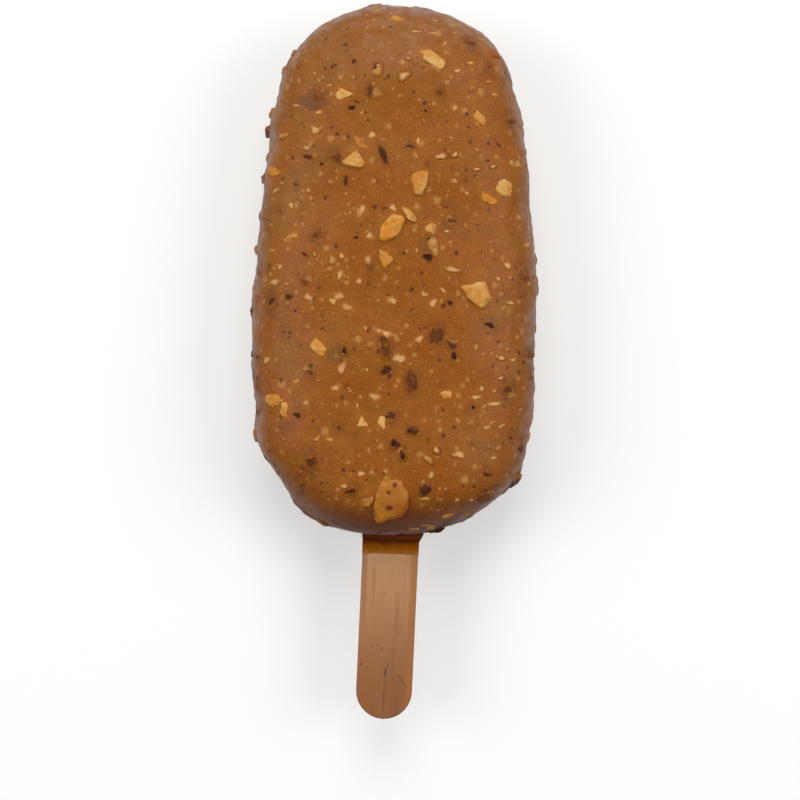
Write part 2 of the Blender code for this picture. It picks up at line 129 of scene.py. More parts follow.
# Corners of the largest shown nuts, by row: millimetres from the row's own place, against the clock
NUT_CORNERS = {
    0: ((-1.2, -1.4), (-0.1, -1.2), (1.8, -0.1), (0.8, 0.7), (-0.5, 1.3), (-1.5, 0.0)),
    1: ((-1.6, -0.2), (1.0, -2.4), (1.9, -1.9), (2.1, -0.4), (-0.5, 2.0), (-2.1, 1.6)),
    2: ((-0.9, -0.8), (0.5, -2.2), (1.1, -1.7), (0.8, 0.1), (-0.4, 1.5), (-1.1, 0.3)),
    3: ((-0.7, -1.4), (1.5, -1.6), (1.9, -0.8), (0.4, 1.6), (-2.1, -0.6)),
    4: ((-1.3, -0.1), (-0.8, -2.0), (0.5, -2.1), (1.4, 0.0), (1.4, 1.7), (-0.4, 1.5), (-1.4, 1.2)),
    5: ((-1.9, -2.3), (-0.6, -2.3), (1.4, -1.4), (2.2, 0.6), (1.9, 1.9), (0.1, 2.0), (-1.7, -0.1)),
    6: ((-0.9, 0.5), (-0.2, -0.7), (1.1, -1.3), (1.5, -0.5), (0.2, 1.0), (-1.4, 1.6)),
    7: ((-0.9, -0.6), (-0.2, -1.7), (1.4, 0.0), (0.1, 1.5), (-1.4, 2.0)),
    8: ((-1.5, -0.8), (-0.6, -2.7), (1.0, -2.8), (1.3, 0.7), (0.8, 2.1), (-0.7, 2.6), (-1.5, 1.5)),
    9: ((-0.8, -0.4), (0.9, -1.6), (1.8, -0.3), (0.6, 1.1), (-0.8, 1.7), (-1.4, 0.8)),
    10: ((-1.7, -2.4), (-0.3, -3.7), (1.6, -1.2), (0.5, 2.3), (-3.9, 1.1)),
    12: ((-0.3, -1.6), (0.9, -1.8), (1.6, -0.3), (0.4, 0.8), (-0.5, 1.8), (-1.6, 0.2)),
    13: ((-1.3, -0.9), (0.1, -2.1), (1.9, -1.5), (2.3, 0.1), (1.7, 1.8), (-0.3, 1.9), (-1.8, 1.2)),
    14: ((-0.8, -0.6), (-0.2, -2.1), (0.4, -2.1), (0.7, 0.3), (0.4, 2.2), (-0.5, 2.0)),
    15: (
        *((-2.2, -2.0), (-1.5, -3.5), (1.4, -2.7), (3.0, -1.3)),
        *((3.3, 1.0), (2.2, 3.1), (-1.0, 3.0), (-2.1, 1.2)),
    ),
    17: ((-1.0, -0.8), (1.2, -0.9), (-0.3, 1.2)),
}

# Toppings that break the outline: y, angle round the section, long, wide, turn, rise, kind, tone, cover
EDGE_TOPPINGS = (
    (46.5, 128, 4.2, 2.8, 45, 0.90, Kind.NUT, 0.85, 0.20),
    (37.7, 28, 3.0, 2.6, 0, 0.95, Kind.NUT, 1.40, 0.00),
    (38.6, 172, 2.4, 2.0, 90, 0.85, Kind.NUT, 0.60, 0.80),
    (35.3, 172, 2.9, 2.4, 90, 0.95, Kind.NUT, 0.70, 0.70),
    (27.7, 178, 2.5, 2.2, 90, 1.10, Kind.NUT, 0.80, 0.30),
    (24.7, 180, 2.4, 2.2, 90, 1.05, Kind.FLAKE, 0.60, 0.00),
    (20.0, 178, 2.2, 1.6, 90, 0.45, Kind.NUT, 0.60, 0.80),
    (16.3, 177, 2.4, 2.1, 90, 0.95, Kind.FLAKE, 0.40, 0.05),
    (9.3, 176, 2.2, 1.8, 90, 0.50, Kind.FLAKE, 0.90, 0.40),
    (3.4, 178, 2.0, 1.7, 90, 0.70, Kind.NUT, 0.80, 0.10),
    (2.1, 4, 3.2, 2.4, 90, 0.70, Kind.NUT, 0.60, 0.90),
    (-2.2, 0, 4.2, 2.4, 90, 0.75, Kind.NUT, 0.60, 0.90),
    (-7.3, 178, 2.9, 1.9, 90, 0.60, Kind.FLAKE, 0.90, 0.30),
    (-15.4, 176, 2.3, 1.8, 90, 0.60, Kind.FLAKE, 0.50, 0.10),
    (-29.6, 182, 3.2, 1.9, 90, 0.60, Kind.NUT, 0.80, 0.50),
    (-34.2, 176, 2.2, 1.6, 90, 0.35, Kind.FLAKE, 0.80, 0.50),
    (-37.4, 6, 4.2, 3.0, 90, 1.35, Kind.FLAKE, 0.15, 0.05),
    (-46.2, 21, 4.0, 2.4, 90, 1.05, Kind.FLAKE, 0.15, 0.10),
    (-46.4, 65, 2.3, 1.9, 90, 0.40, Kind.NUT, 0.00, 0.45),
    (-46.0, 45, 2.6, 1.8, 90, 0.45, Kind.NUT, 0.00, 0.45),
    (-45.3, 165, 3.0, 2.0, 90, 0.60, Kind.NUT, 0.90, 0.50),
    (-41.0, 170, 2.6, 1.8, 90, 0.40, Kind.FLAKE, 0.80, 0.50),
    (-43.6, 12, 2.2, 1.6, 90, 0.40, Kind.NUT, 0.60, 0.60),
    (26.8, 4, 2.8, 2.0, 90, 0.40, Kind.NUT, 0.60, 0.80),
)

# Small toppings of the shown face, nearly flush with the coating: x, y, long, wide, turn, tone
SMALL_NUTS = (
    (-22.1, -16.4, 1.8, 1.4, 90, 0.1), (3.9, -46.2, 1.8, 1.4, 0, 0.3), (6.3, -45.5, 1.8, 1.6, 0, 0.3),
    (0.8, -15.9, 1.7, 1.0, 0, 0.1), (-1.4, -11.6, 2.4, 1.0, -15, 0.2),
    (1.6, -16.1, 1.4, 1.0, 0, 0.0), (-8.8, -17.7, 1.6, 1.4, 90, 0.2), (-14.4, 9.4, 2.3, 1.0, 80, 0.6),
    (10.3, -0.4, 2.1, 0.9, 0, 0.1), (19.9, 0.5, 1.6, 1.4, 0, 0.1), (1.5, 33.2, 1.4, 1.2, 0, 0.0),
    (-13.8, 23.8, 1.7, 1.4, 35, 0.2), (-9.4, -5.2, 1.7, 0.9, 10, 0.4), (-10.5, -6.1, 1.0, 1.0, 0, 0.0),
    (11.7, -32.6, 1.6, 1.4, 0, 0.1), (-10.5, -30.1, 2.1, 1.0, 10, 1.0), (18.0, -23.7, 2.1, 1.2, 0, 0.2),
    (-0.2, 10.2, 1.0, 0.9, 0, 0.0), (-15.3, 20.7, 1.0, 1.0, 0, 0.1), (-3.9, 22.9, 1.4, 0.9, 0, 0.2),
    (-11.5, 31.6, 1.0, 0.5, 0, 0.0), (-17.3, 28.3, 1.4, 0.7, 0, 0.0), (15.8, 23.2, 1.2, 0.7, 0, 0.3),
    (10.5, 27.8, 1.2, 0.9, 90, 0.2), (10.8, 34.3, 1.0, 0.7, 0, 0.0), (13.2, 35.9, 0.9, 0.9, 0, 0.1),
    (8.7, 39.3, 1.0, 0.7, 90, 0.2), (3.6, 41.5, 1.6, 0.5, 0, 0.0), (6.6, 41.4, 1.4, 0.4, 0, 0.0),
    (16.4, 32.8, 1.0, 0.5, 0, 0.1), (8.1, 19.3, 1.6, 0.9, 0, 0.0), (10.5, 19.6, 0.9, 0.9, 0, 0.0),
    (4.1, 24.5, 1.0, 0.7, 0, 0.2), (4.1, 22.1, 1.4, 0.7, 90, 0.3), (-18.0, 10.7, 1.4, 0.9, 90, 0.1),
    (-15.0, 13.3, 1.0, 0.7, 90, 0.1), (-4.3, 5.3, 1.0, 0.9, 0, 0.2), (-9.0, 1.8, 1.0, 0.7, 90, 0.1),
    (-9.3, -1.5, 1.2, 1.0, 90, 0.1), (-6.0, -2.6, 1.0, 0.7, 0, 0.2), (-20.8, -2.7, 1.9, 1.4, 90, 0.2),
    (-8.0, -7.1, 1.7, 1.2, 0, 0.8), (-14.8, -5.4, 1.4, 1.4, 0, 0.2), (0.0, -6.0, 0.9, 0.9, 0, 0.1),
    (9.4, 6.3, 1.4, 0.5, 0, 0.0), (18.3, -1.9, 0.9, 0.9, 0, 0.3), (17.1, 17.7, 1.2, 0.5, 0, 0.1),
    (20.8, 18.3, 1.0, 0.9, 0, 0.1), (16.9, -7.0, 1.4, 1.0, 0, 0.3), (6.9, -6.3, 1.2, 1.2, 0, 0.1),
    (20.7, -6.0, 1.0, 1.0, 0, 0.1), (23.6, -2.5, 1.4, 0.7, 90, 0.2), (-10.0, -21.2, 1.2, 1.0, 0, 0.2),
    (-3.0, -22.7, 1.4, 1.4, 0, 0.1), (-6.1, -24.5, 1.6, 0.5, 90, 0.0), (-5.3, -36.1, 1.0, 0.9, 90, 0.2),
    (4.6, -12.6, 1.2, 1.2, 0, 0.2), (14.6, -22.6, 1.4, 1.0, 0, 0.1), (15.6, -21.1, 0.9, 0.9, 0, 0.0),
    (18.8, -19.2, 1.0, 0.7, 0, 0.1), (19.0, -15.7, 1.2, 0.9, 90, 0.1), (21.0, -16.0, 1.0, 0.7, 0, 0.1),
    (7.7, -31.8, 1.2, 0.7, 90, 0.0), (17.9, -33.2, 0.9, 0.9, 0, 0.2), (-8.3, -38.3, 0.9, 0.9, 0, 0.1),
    (5.9, -40.4, 1.4, 0.9, 0, 0.1), (6.9, -36.2, 1.0, 1.0, 0, 0.3), (11.5, -40.6, 1.0, 0.9, 90, 0.1),
    (14.0, -40.6, 1.0, 0.7, 0, 0.1),
)
SMALL_FLAKES = (
    (-14.9, 19.1, 1.4, 1.0, 0, 0.2), (-15.4, 2.1, 1.0, 0.5, -40, 0.3), (-21.4, -6.0, 1.9, 1.4, 70, 0.6),
    (-18.2, -5.4, 1.6, 1.0, 50, 0.4), (5.9, 1.7, 1.4, 1.4, 0, 0.0), (-1.1, -18.0, 1.9, 1.4, 0, 0.4),
    (17.0, -10.0, 1.7, 1.2, -20, 0.2), (-8.4, -14.7, 1.0, 1.0, 0, 0.1), (0.6, -30.8, 1.6, 1.4, 0, 0.0),
    (-16.5, -26.0, 1.4, 1.0, 0, 0.2), (1.9, -32.8, 1.4, 0.9, 90, 0.1), (14.1, -24.4, 1.0, 0.9, 0, 0.0),
    (20.1, -21.3, 1.9, 1.6, 0, 0.8),
    (-7.0, -39.1, 1.6, 1.0, 30, 0.4), (2.7, 21.0, 1.6, 0.7, 0, 0.9), (5.4, 27.1, 1.0, 1.0, 0, 0.2),
    (-7.5, 27.6, 1.0, 1.0, 0, 0.1), (8.8, -20.2, 1.2, 0.9, 0, 0.3), (-7.2, 35.8, 0.9, 0.7, 90, 0.1),
    (-8.8, 39.0, 1.2, 0.9, 90, 0.5), (6.5, 4.9, 1.0, 0.8, 0, 0.1), (13.2, 5.4, 0.7, 0.6, 0, 0.2),
    (-6.3, -29.6, 0.9, 0.7, 30, 0.2), (9.9, -6.2, 0.8, 0.7, 0, 0.3), (-19.0, -11.4, 0.8, 0.7, 0, 0.2),
)

# The curve of a display's colours: a straight foot up to FOOT_END, then a power
FULL_COLOUR = 255
FOOT_END = 0.04045
FOOT_SLOPE = 12.92
CURVE_SHIFT = 0.055
CURVE_POWER = 2.4


def curved(part: float) -> float:
    """One linear value for a display value.

    Args:
        part: The display value, 0 to 1.

    Returns:
        The linear value, 0 to 1.
    """
    if part <= FOOT_END:
        return part / FOOT_SLOPE
    return ((part + CURVE_SHIFT) / (1 + CURVE_SHIFT)) ** CURVE_POWER


def linear(red: float, green: float, blue: float) -> Colour:
    """Turns a colour given as 0 to 255 into the linear values that a shader wants.

    Args:
        red: Red, 0 to 255.
        green: Green, 0 to 255.
        blue: Blue, 0 to 255.

    Returns:
        Linear red, green, blue and an alpha of 1.
    """
    return (*(curved(value / FULL_COLOUR) for value in (red, green, blue)), 1.0)


def smooth_step(value: np.ndarray, low: float, high: float) -> np.ndarray:
    """Eases from 0 at low to 1 at high with level ends: 3t² - 2t³."""
    share = np.clip((value - low) / (high - low), 0, 1)
    return share * share * (3 - 2 * share)


def lattice_noise(points: np.ndarray, cell: float, seed: int) -> np.ndarray:
    """Smooth noise between -1 and 1: random numbers on a cubic lattice, eased between a cell's eight corners.

    Args:
        points: Points, any shape ending in 3.
        cell: Width of a lattice cell, in the same unit as the points.
        seed: Seed of the random numbers.

    Returns:
        One value for each point.
    """
    size = 32
    table = np.random.default_rng(seed).uniform(-1, 1, (size, size, size))
    scaled = points / cell + size
    base = np.floor(scaled).astype(int)
    part = scaled - base
    part = part * part * (3 - 2 * part)
    total = np.zeros(points.shape[:-1])
    for corner in np.ndindex(2, 2, 2):
        index = (base + np.array(corner)) % size
        weight = np.prod(np.where(np.array(corner) == 1, part, 1 - part), axis=-1)
        total += weight * table[index[..., 0], index[..., 1], index[..., 2]]
    return total


def signed_power(value: np.ndarray, power: float) -> np.ndarray:
    """value raised to power, with its own sign kept."""
    return np.sign(value) * np.abs(value) ** power


def unit(vectors: np.ndarray) -> np.ndarray:
    """Vectors of length 1 in the same directions."""
    return vectors / np.maximum(np.linalg.norm(vectors, axis=-1, keepdims=True), SHORTEST)


@dataclass(frozen=True)
class BarForm:
    """The dipped bar's form, by the same rules and sizes as its solid."""

    tip_y: float = 47.1 * MM
    neck_y: float = -47.3 * MM
    widest_y: float = -5.0 * MM
    widest: float = 25.2 * MM
    tip_taper: float = 5.6 * MM
    tip_taper_power: float = 1.3
    neck_taper: float = 2.0 * MM
    tip_cap: float = 20.0 * MM
    tip_round: float = 2.06
    neck_cap: float = 22.0 * MM
    neck_round: float = 2.69
    swell_ends: tuple[float, float] = (-45.5 * MM, 45.5 * MM)
    swell_reach: float = 5.0 * MM
    left_swells: tuple[float, ...] = (
        *(-1.06, -2.59, 0.56, -0.74, -0.08, 0.09, -0.11),
        *(-0.31, -0.5, -0.04, -0.43, -0.6, 1.09, 2.22),
    )
    right_swells: tuple[float, ...] = (
        *(-3.94, 0.23, -0.21, -0.02, 0.54, 0.08, 0.23),
        *(0.47, -0.26, 0.7, 0.61, -0.12, 1.33, 2.64),
    )
    thickest: float = 12.0 * MM
    thin_towards_tip: float = 0.7 * MM
    thin_towards_neck: float = 0.4 * MM
    tip_thick_cap: float = 15.0 * MM
    tip_thick_round: float = 2.1
    neck_thick_cap: float = 10.0 * MM
    neck_thick_round: float = 2.3
    squareness: float = 2.75
    end_squareness: float = 2.2
    rest_cut: float = 0.18 * MM
    wave_height: float = 0.15 * MM
    wave_lengths: tuple[float, float, float] = (23.0 * MM, 31.0 * MM, 17.0 * MM)
    wave_offsets: tuple[float, float] = (1.3, 2.1)
    uneven_from_floor: float = 2.5 * MM
    spine_share: float = 0.6
    lumps: tuple[tuple[float, float], ...] = (
        (4.3 * MM, 0.06 * MM),
        (1.9 * MM, 0.045 * MM),
        (0.9 * MM, 0.018 * MM),
    )
    lump_seed: int = 3
    flank: tuple[float, float] = (0.25, 0.85)
    flank_gain: float = 3.2
    # Painted shade at the neck end, and where the painted sheen on the shoulders and the tip lies and fades
    neck_shade_reach: tuple[float, float] = (38.0 * MM, 47.8 * MM)
    shoulder: tuple[float, float] = (0.18, 0.75)
    below: tuple[float, float] = (0.8, 1.2)
    less_sheen_below: float = 0.75
    less_sheen_at_neck: float = 0.8
    tip_sheen: float = 0.28
    tip_sheen_from: float = 0.6
    probe_turn: float = 1e-4
    probe_along: float = 1e-4 * MM
    probe: float = 0.05 * MM
    stretch_turn: float = 0.01
    end_gap: float = 0.02 * MM

    @property
    def mid_z(self) -> float:
        """Height of the bar's middle plane over the floor."""
        return self.thickest - self.rest_cut

    @staticmethod
    def cap(inwards: np.ndarray, depth: float, power: float) -> np.ndarray:
        """Rounds an end off: 0 at the end and 1 from depth inwards, along a superellipse of that power."""
        short = np.clip(1 - inwards / depth, 0, 1)
        return (1 - short**power) ** (1 / power)

    def towards_tip(self, y: np.ndarray) -> np.ndarray:
        """0 up to the widest station and 1 at the tip."""
        return np.clip((y - self.widest_y) / (self.tip_y - self.widest_y), 0, 1)

    def towards_neck(self, y: np.ndarray) -> np.ndarray:
        """0 down to the widest station and 1 at the neck."""
        return np.clip((self.widest_y - y) / (self.widest_y - self.neck_y), 0, 1)

    def half_width(self, y: np.ndarray, x: np.ndarray) -> np.ndarray:
        """Width from the middle to one side: a slow taper and that side's swells, times the two ends.

        Args:
            y: Station along the bar.
            x: Anything below 0 on the left side, and above 0 on the right.

        Returns:
            The half width in metres.
        """
        taper = self.tip_taper * self.towards_tip(y) ** self.tip_taper_power
        taper = taper + self.neck_taper * self.towards_neck(y) ** 2
        stations = np.linspace(*self.swell_ends, len(self.left_swells))
        bells = np.exp(-(((np.asarray(y)[..., None] - stations) / self.swell_reach) ** 2))
        left, right = np.array(self.left_swells) * MM, np.array(self.right_swells) * MM
        swell = np.where(np.asarray(x) < 0, bells @ left, bells @ right)
        tip = self.cap(self.tip_y - y, self.tip_cap, self.tip_round)
        return (self.widest - taper + swell) * tip * self.cap(y - self.neck_y, self.neck_cap, self.neck_round)

    def half_thick(self, y: np.ndarray) -> np.ndarray:
        """Half the bar's thickness at station y: a slow taper to each end times the two rounded ends.

        Args:
            y: Station along the bar.

        Returns:
            The half thickness in metres.
        """
        thin = self.thin_towards_tip * self.towards_tip(y) ** 2
        thin = thin + self.thin_towards_neck * self.towards_neck(y) ** 2
        tip = self.cap(self.tip_y - y, self.tip_thick_cap, self.tip_thick_round)
        neck = self.cap(y - self.neck_y, self.neck_thick_cap, self.neck_thick_round)
        return (self.thickest - thin) * tip * neck

    def section_power(self, y: np.ndarray) -> np.ndarray:
        """How square the section is at station y: squarest along the middle and rounder at the ends."""
        ends = np.maximum(self.towards_tip(y), self.towards_neck(y)) ** 3
        return self.squareness + (self.end_squareness - self.squareness) * ends

    def even_skin(self, around: np.ndarray, y: np.ndarray) -> np.ndarray:
        """The skin without waves: at station y and angle around, the superellipse x = w cos^p, z = t sin^p.

        Args:
            around: Angle round the section, in radians.
            y: Station along the bar.

        Returns:
            Points in metres.
        """
        power = 2 / self.section_power(y)
        side = np.cos(around)
        x = self.half_width(y, side) * signed_power(side, power)
        z = self.half_thick(y) * signed_power(np.sin(around), power)
        return np.stack([x, y + 0 * x, z + self.mid_z], axis=-1)

    def waves(self, point: np.ndarray) -> np.ndarray:
        """Height of the coating's slow waves at a point: three crossed sines, fading out near the floor.

        Args:
            point: Points near the skin.

        Returns:
            Heights in metres.
        """
        x, y, z = (2 * math.pi * point[..., i] for i in range(3))
        a, b, c = self.wave_lengths
        second, third = self.wave_offsets
        height = np.sin(x / a + y / b) + np.sin(y / c - z / a + second)
        height = height + np.sin(z / c + x / b - y / a + third)
        return self.wave_height * height * np.clip(point[..., 2] / self.uneven_from_floor, 0, 1)

    def fine_lumps(self, point: np.ndarray, outwards: np.ndarray) -> np.ndarray:
        """Height of the coating's small lumps: added noise, taller on the flanks, gone near the floor.

        Args:
            point: Points near the skin.
            outwards: Outward directions there.

        Returns:
            Heights in metres.
        """
        numbered = enumerate(self.lumps, self.lump_seed)
        height = sum(tall * lattice_noise(point, cell, seed) for seed, (cell, tall) in numbered)
        gain = 1 + self.flank_gain * smooth_step(1 - outwards[..., 2], *self.flank)
        return height * gain * np.clip(point[..., 2] / self.uneven_from_floor, 0, 1)

    def painted_light(self, point: np.ndarray, outwards: np.ndarray) -> dict[str, np.ndarray]:
        """Painted sheen and painted shade of the coating: sheen on the shoulders and the tip, and shade at
        the neck end.

        Args:
            point: Points near the skin.
            outwards: Outward directions there.

        Returns:
            The two values by name, 0 to 1.
        """
        # Painted shade: the neck end, which faces away from the lights, is darkened
        neck = smooth_step(-point[..., 1], *self.neck_shade_reach)
        # Painted sheen: pale where the skin turns steeply away from the camera and towards the tip, less
        # underneath and at the neck
        tip = self.tip_sheen * smooth_step(point[..., 1], self.tip_sheen_from * self.tip_y, self.tip_y)
        steep = 1 - outwards[..., 2]
        painted_sheen = np.maximum(smooth_step(steep, *self.shoulder), tip)
        painted_sheen = painted_sheen * (1 - self.less_sheen_below * smooth_step(steep, *self.below))
        return {"painted_sheen": painted_sheen * (1 - self.less_sheen_at_neck * neck), "neck_shade": neck}

    def skin(self, around: np.ndarray, y: np.ndarray) -> np.ndarray:
        """The even skin pushed in and out from the bar's middle line by the waves, and flat where it rests.

        Args:
            around: Angle round the section, in radians.
            y: Station along the bar.

        Returns:
            Points in metres.
        """
        here = self.even_skin(around, y)
        middle = 0 * here[..., 0]
        spine = np.stack([middle, self.spine_share * here[..., 1], self.mid_z + middle], axis=-1)
        there = here + unit(here - spine) * self.waves(here)[..., None]
        there[..., 2] = np.maximum(there[..., 2], 0.0)
        return there

    def skin_frame(self, around: float, y: float) -> tuple[np.ndarray, np.ndarray]:
        """Point of the even skin, and the directions across, along and out of it, by differences.

        Args:
            around: Angle round the section, in radians.
            y: Station along the bar.

        Returns:
            The point, and the three directions as rows.
        """
        here = self.even_skin(around, y)
        along_u = self.even_skin(around + self.probe_turn, y) - self.even_skin(around - self.probe_turn, y)
        low, high = max(self.neck_y, y - self.probe_along), min(self.tip_y, y + self.probe_along)
        along_y = self.even_skin(around, high) - self.even_skin(around, low)
        normal = unit(np.cross(along_y, along_u))
        across = -unit(along_u)
        return here, np.array([across, np.cross(normal, across), normal])

    def level(self, point: np.ndarray) -> np.ndarray:
        """1 on the even skin, less inside and more outside: (|x / w|^p + |z / t|^p)^(1 / p).

        Args:
            point: Points near the skin.

        Returns:
            One value for each point.
        """
        y = np.clip(point[..., 1], self.neck_y + self.end_gap, self.tip_y - self.end_gap)
        power = self.section_power(y)
        x = np.abs(point[..., 0]) / self.half_width(y, point[..., 0])
        z = np.abs(point[..., 2] - self.mid_z) / self.half_thick(y)
        return (x**power + z**power) ** (1 / power)

    def height_above(self, point: np.ndarray) -> tuple[np.ndarray, np.ndarray]:
        """Height over the coating, to first order: (level - 1) over its slope's length, less waves and lumps.

        Args:
            point: Points near the skin.

        Returns:
            The heights in metres, and the outward directions.
        """
        slope = np.empty(point.shape)
        for axis, shift in enumerate(self.probe * np.eye(3)):
            slope[..., axis] = (self.level(point + shift) - self.level(point - shift)) / (2 * self.probe)
        length = np.maximum(np.linalg.norm(slope, axis=-1), SHORTEST)
        outwards = slope / length[..., None]
        height = (self.level(point) - 1) / length - self.waves(point) - self.fine_lumps(point, outwards)
        return height, outwards

    def shown_angle(self, x: float, y: float) -> float:
        """The angle in degrees round the section at which the shown face has this x.

        Args:
            x: Place across the bar, in metres.
            y: Station along the bar, in metres.

        Returns:
            The angle, 0 at the right edge and 180 at the left.
        """
        share = min(abs(x) / float(self.half_width(y, x)), 1.0)
        angle = math.degrees(math.acos(share ** (float(self.section_power(y)) / 2)))
        return angle if x >= 0 else 180 - angle

    def stretch(self, around: float, y: float, here: np.ndarray) -> float:
        """Length of skin for each radian round the section, by a small difference."""
        return float(np.linalg.norm(self.even_skin(around + self.stretch_turn, y) - here)) / self.stretch_turn


@dataclass(frozen=True)
class Spread:
    """Toppings spread all over by a seeded rule, the same one as on the solid."""

    form: BarForm
    seed: int = 7
    look_seed: int = 9
    count: int = 92
    longest: float = 4.2 * MM
    shortest: float = 1.6 * MM
    shrink: float = 0.6
    tries: int = 6000
    clearance: float = 0.7 * MM
    wide: tuple[float, float] = (0.55, 0.95)
    rise: tuple[float, float] = (0.14, 0.26)
    dark_share: float = 0.36
    end_keep_out: float = 0.7 * MM
    rest_keep_out: float = 0.5 * MM
    shown_keep_out: float = 8.5 * MM
    neck_keep_out: float = 9.0 * MM
    neck_keep_out_length: float = 5.0 * MM
    cover: tuple[float, float] = (0.1, 0.7)

    def named(self) -> list[Topping]:
        """The toppings of the shown face and of the outline, each where it lies.

        Returns:
            Their rows.
        """
        rows = []
        for kind, table in ((Kind.NUT, SHOWN_NUTS), (Kind.FLAKE, SHOWN_FLAKES)):
            for x, y, long, wide, turn, rise, tone, cover in table:
                around = self.form.shown_angle(x * MM, y * MM)
                rows.append(Topping(y, around, long, wide, turn, rise, kind, tone, cover))
        return rows + [Topping(*row) for row in EDGE_TOPPINGS]

    def free(self, here: np.ndarray, y: float, long: float, taken: list[tuple[np.ndarray, float]]) -> bool:
        """Whether a topping fits: off the resting spot, the shown face and the stick, clear of the others.

        Args:
            here: Its point on the skin.
            y: Its station.
            long: Its length.
            taken: Points and lengths of the toppings before it.

        Returns:
            True where it fits.
        """
        in_neck = y < self.form.neck_y + self.neck_keep_out_length and abs(here[0]) < self.neck_keep_out
        if here[2] < self.rest_keep_out or here[2] > self.form.mid_z + self.shown_keep_out or in_neck:
            return False
        gaps = [np.linalg.norm(here - there) - 0.5 * (long + other) for there, other in taken]
        return min(gaps) >= self.clearance

    def all_over(self) -> list[Topping]:
        """The named toppings, then the spread ones, largest first, each kept if clear of those before.

        Returns:
            Their rows.
        """
        rows = self.named()
        draw = random.Random(self.seed)
        looks = random.Random(self.look_seed)
        taken = [(self.form.even_skin(math.radians(r.around), r.y * MM), r.long * MM) for r in rows]
        found = 0
        for _ in range(self.tries):
            if found == self.count:
                break
            long = self.longest + (self.shortest - self.longest) * (found / self.count) ** self.shrink
            y = draw.uniform(self.form.neck_y + self.end_keep_out, self.form.tip_y - self.end_keep_out)
            around = draw.uniform(0, 2 * math.pi)
            here = self.form.even_skin(around, y)
            skipped = draw.uniform(0, self.form.widest) > self.form.stretch(around, y, here)
            if skipped or not self.free(here, y, long, taken):
                continue
            taken.append((here, long))
            found += 1
            wide = long * draw.uniform(*self.wide)
            kind = Kind.FLAKE if draw.random() < self.dark_share else Kind.NUT
            rise = min(wide * draw.uniform(*self.rise), here[2])
            sizes = (y / MM, math.degrees(around), long / MM, wide / MM, draw.uniform(0, 360), rise / MM)
            rows.append(Topping(*sizes, kind, looks.random(), looks.uniform(*self.cover)))
        return rows


@dataclass(frozen=True)
class Crumbs:
    """Small crumbs and specks, nearly flush with the coating: the shown face's own and random ones."""

    form: BarForm
    seed: int = 31
    count: int = 520
    dark_share: float = 0.45
    longest: float = 2.1 * MM
    shortest: float = 0.5 * MM
    size_power: float = 2.2
    wide: tuple[float, float] = (0.5, 1.0)
    rise: float = 0.05
    cover: tuple[float, float] = (0.0, 0.6)
    named_gain: float = 1.4
    named_rise: float = 0.06
    named_cover: float = 0.05
    clearance: float = 0.1 * MM
    end_keep_out: float = 0.6 * MM
    rest_keep_out: float = 0.35 * MM

    def named(self) -> list[Topping]:
        """The small toppings of the shown face, each where it lies.

        Returns:
            Their rows.
        """
        rows = []
        for kind, table in ((Kind.NUT, SMALL_NUTS), (Kind.FLAKE, SMALL_FLAKES)):
            for x, y, long, wide, turn, tone in table:
                around = self.form.shown_angle(x * MM, y * MM)
                sizes = (self.named_gain * long, self.named_gain * wide, turn, self.named_rise)
                rows.append(Topping(y, around, *sizes, kind, tone, self.named_cover))
        return rows

    def all_over(self, large: list[Topping]) -> list[Topping]:
        """The named small toppings and then random ones that keep clear of the large ones.

        Args:
            large: The toppings that are already placed.

        Returns:
            The rows of the small toppings.
        """
        rows = self.named()
        draw = random.Random(self.seed)
        others = [*large, *rows]
        places = np.array([self.form.even_skin(math.radians(r.around), r.y * MM) for r in others])
        reach = np.array([r.long * MM for r in others])
        found = 0
        while found < self.count:
            y = draw.uniform(self.form.neck_y + self.end_keep_out, self.form.tip_y - self.end_keep_out)
            around = draw.uniform(0, 2 * math.pi)
            here = self.form.even_skin(around, y)
            skipped = draw.uniform(0, self.form.widest) > self.form.stretch(around, y, here)
            if skipped or here[2] < self.rest_keep_out:
                continue
            long = self.shortest + (self.longest - self.shortest) * draw.random() ** self.size_power
            if (np.linalg.norm(places - here, axis=-1) < 0.5 * (reach + long) + self.clearance).any():
                continue
            found += 1
            kind = Kind.FLAKE if draw.random() < self.dark_share else Kind.NUT
            sizes = (long / MM, long / MM * draw.uniform(*self.wide), draw.uniform(0, 360), self.rise)
            look = (draw.random(), draw.uniform(*self.cover))
            rows.append(Topping(y / MM, math.degrees(around), *sizes, kind, *look))
        return rows


@dataclass
class Surface:
    """Points, faces and named values of a mesh, held as whole arrays until it is made."""

    points: np.ndarray
    faces: list[tuple[int, ...]]
    values: dict[str, np.ndarray]

    def make(self, name: str) -> bpy.types.Object:
        """Makes the mesh object, smooth, with its place in its mesh.

        Args:
            name: Name of the piece.

        Returns:
            The object, linked to the scene.
        """
        mesh = bpy.data.meshes.new(name)
        mesh.from_pydata(self.points.reshape(-1, 3).tolist(), [], self.faces)
        for label, value in self.values.items():
            layer = mesh.attributes.new(label, "FLOAT", "POINT")
            layer.data.foreach_set("value", np.ascontiguousarray(value.reshape(-1), dtype=np.float32))
        mesh.shade_smooth()
        mesh.validate()
        made = bpy.data.objects.new(name, mesh)
        bpy.context.scene.collection.objects.link(made)
        return made


def closed_rings(rows: int, columns: int, first: int = 0) -> list[tuple[int, ...]]:
    """Faces of a closed form: one pole, rows of rings of points, and the other pole, wound outwards.

    Args:
        rows: Number of rings between the poles.
        columns: Points in each ring.
        first: Index of the first pole.

    Returns:
        Triangles round the poles and quads between the rings.
    """
    ring = first + 1 + np.arange(rows * columns).reshape(rows, columns)
    following = np.roll(ring, -1, axis=1)
    last = first + 1 + rows * columns
    quads = np.stack([ring[:-1], ring[1:], following[1:], following[:-1]], axis=-1).reshape(-1, 4)
    top = np.stack([np.full(columns, first), ring[0], following[0]], axis=-1)
    bottom = np.stack([np.full(columns, last), following[-1], ring[-1]], axis=-1)
    return [tuple(face) for part in (top, quads, bottom) for face in part.tolist()]


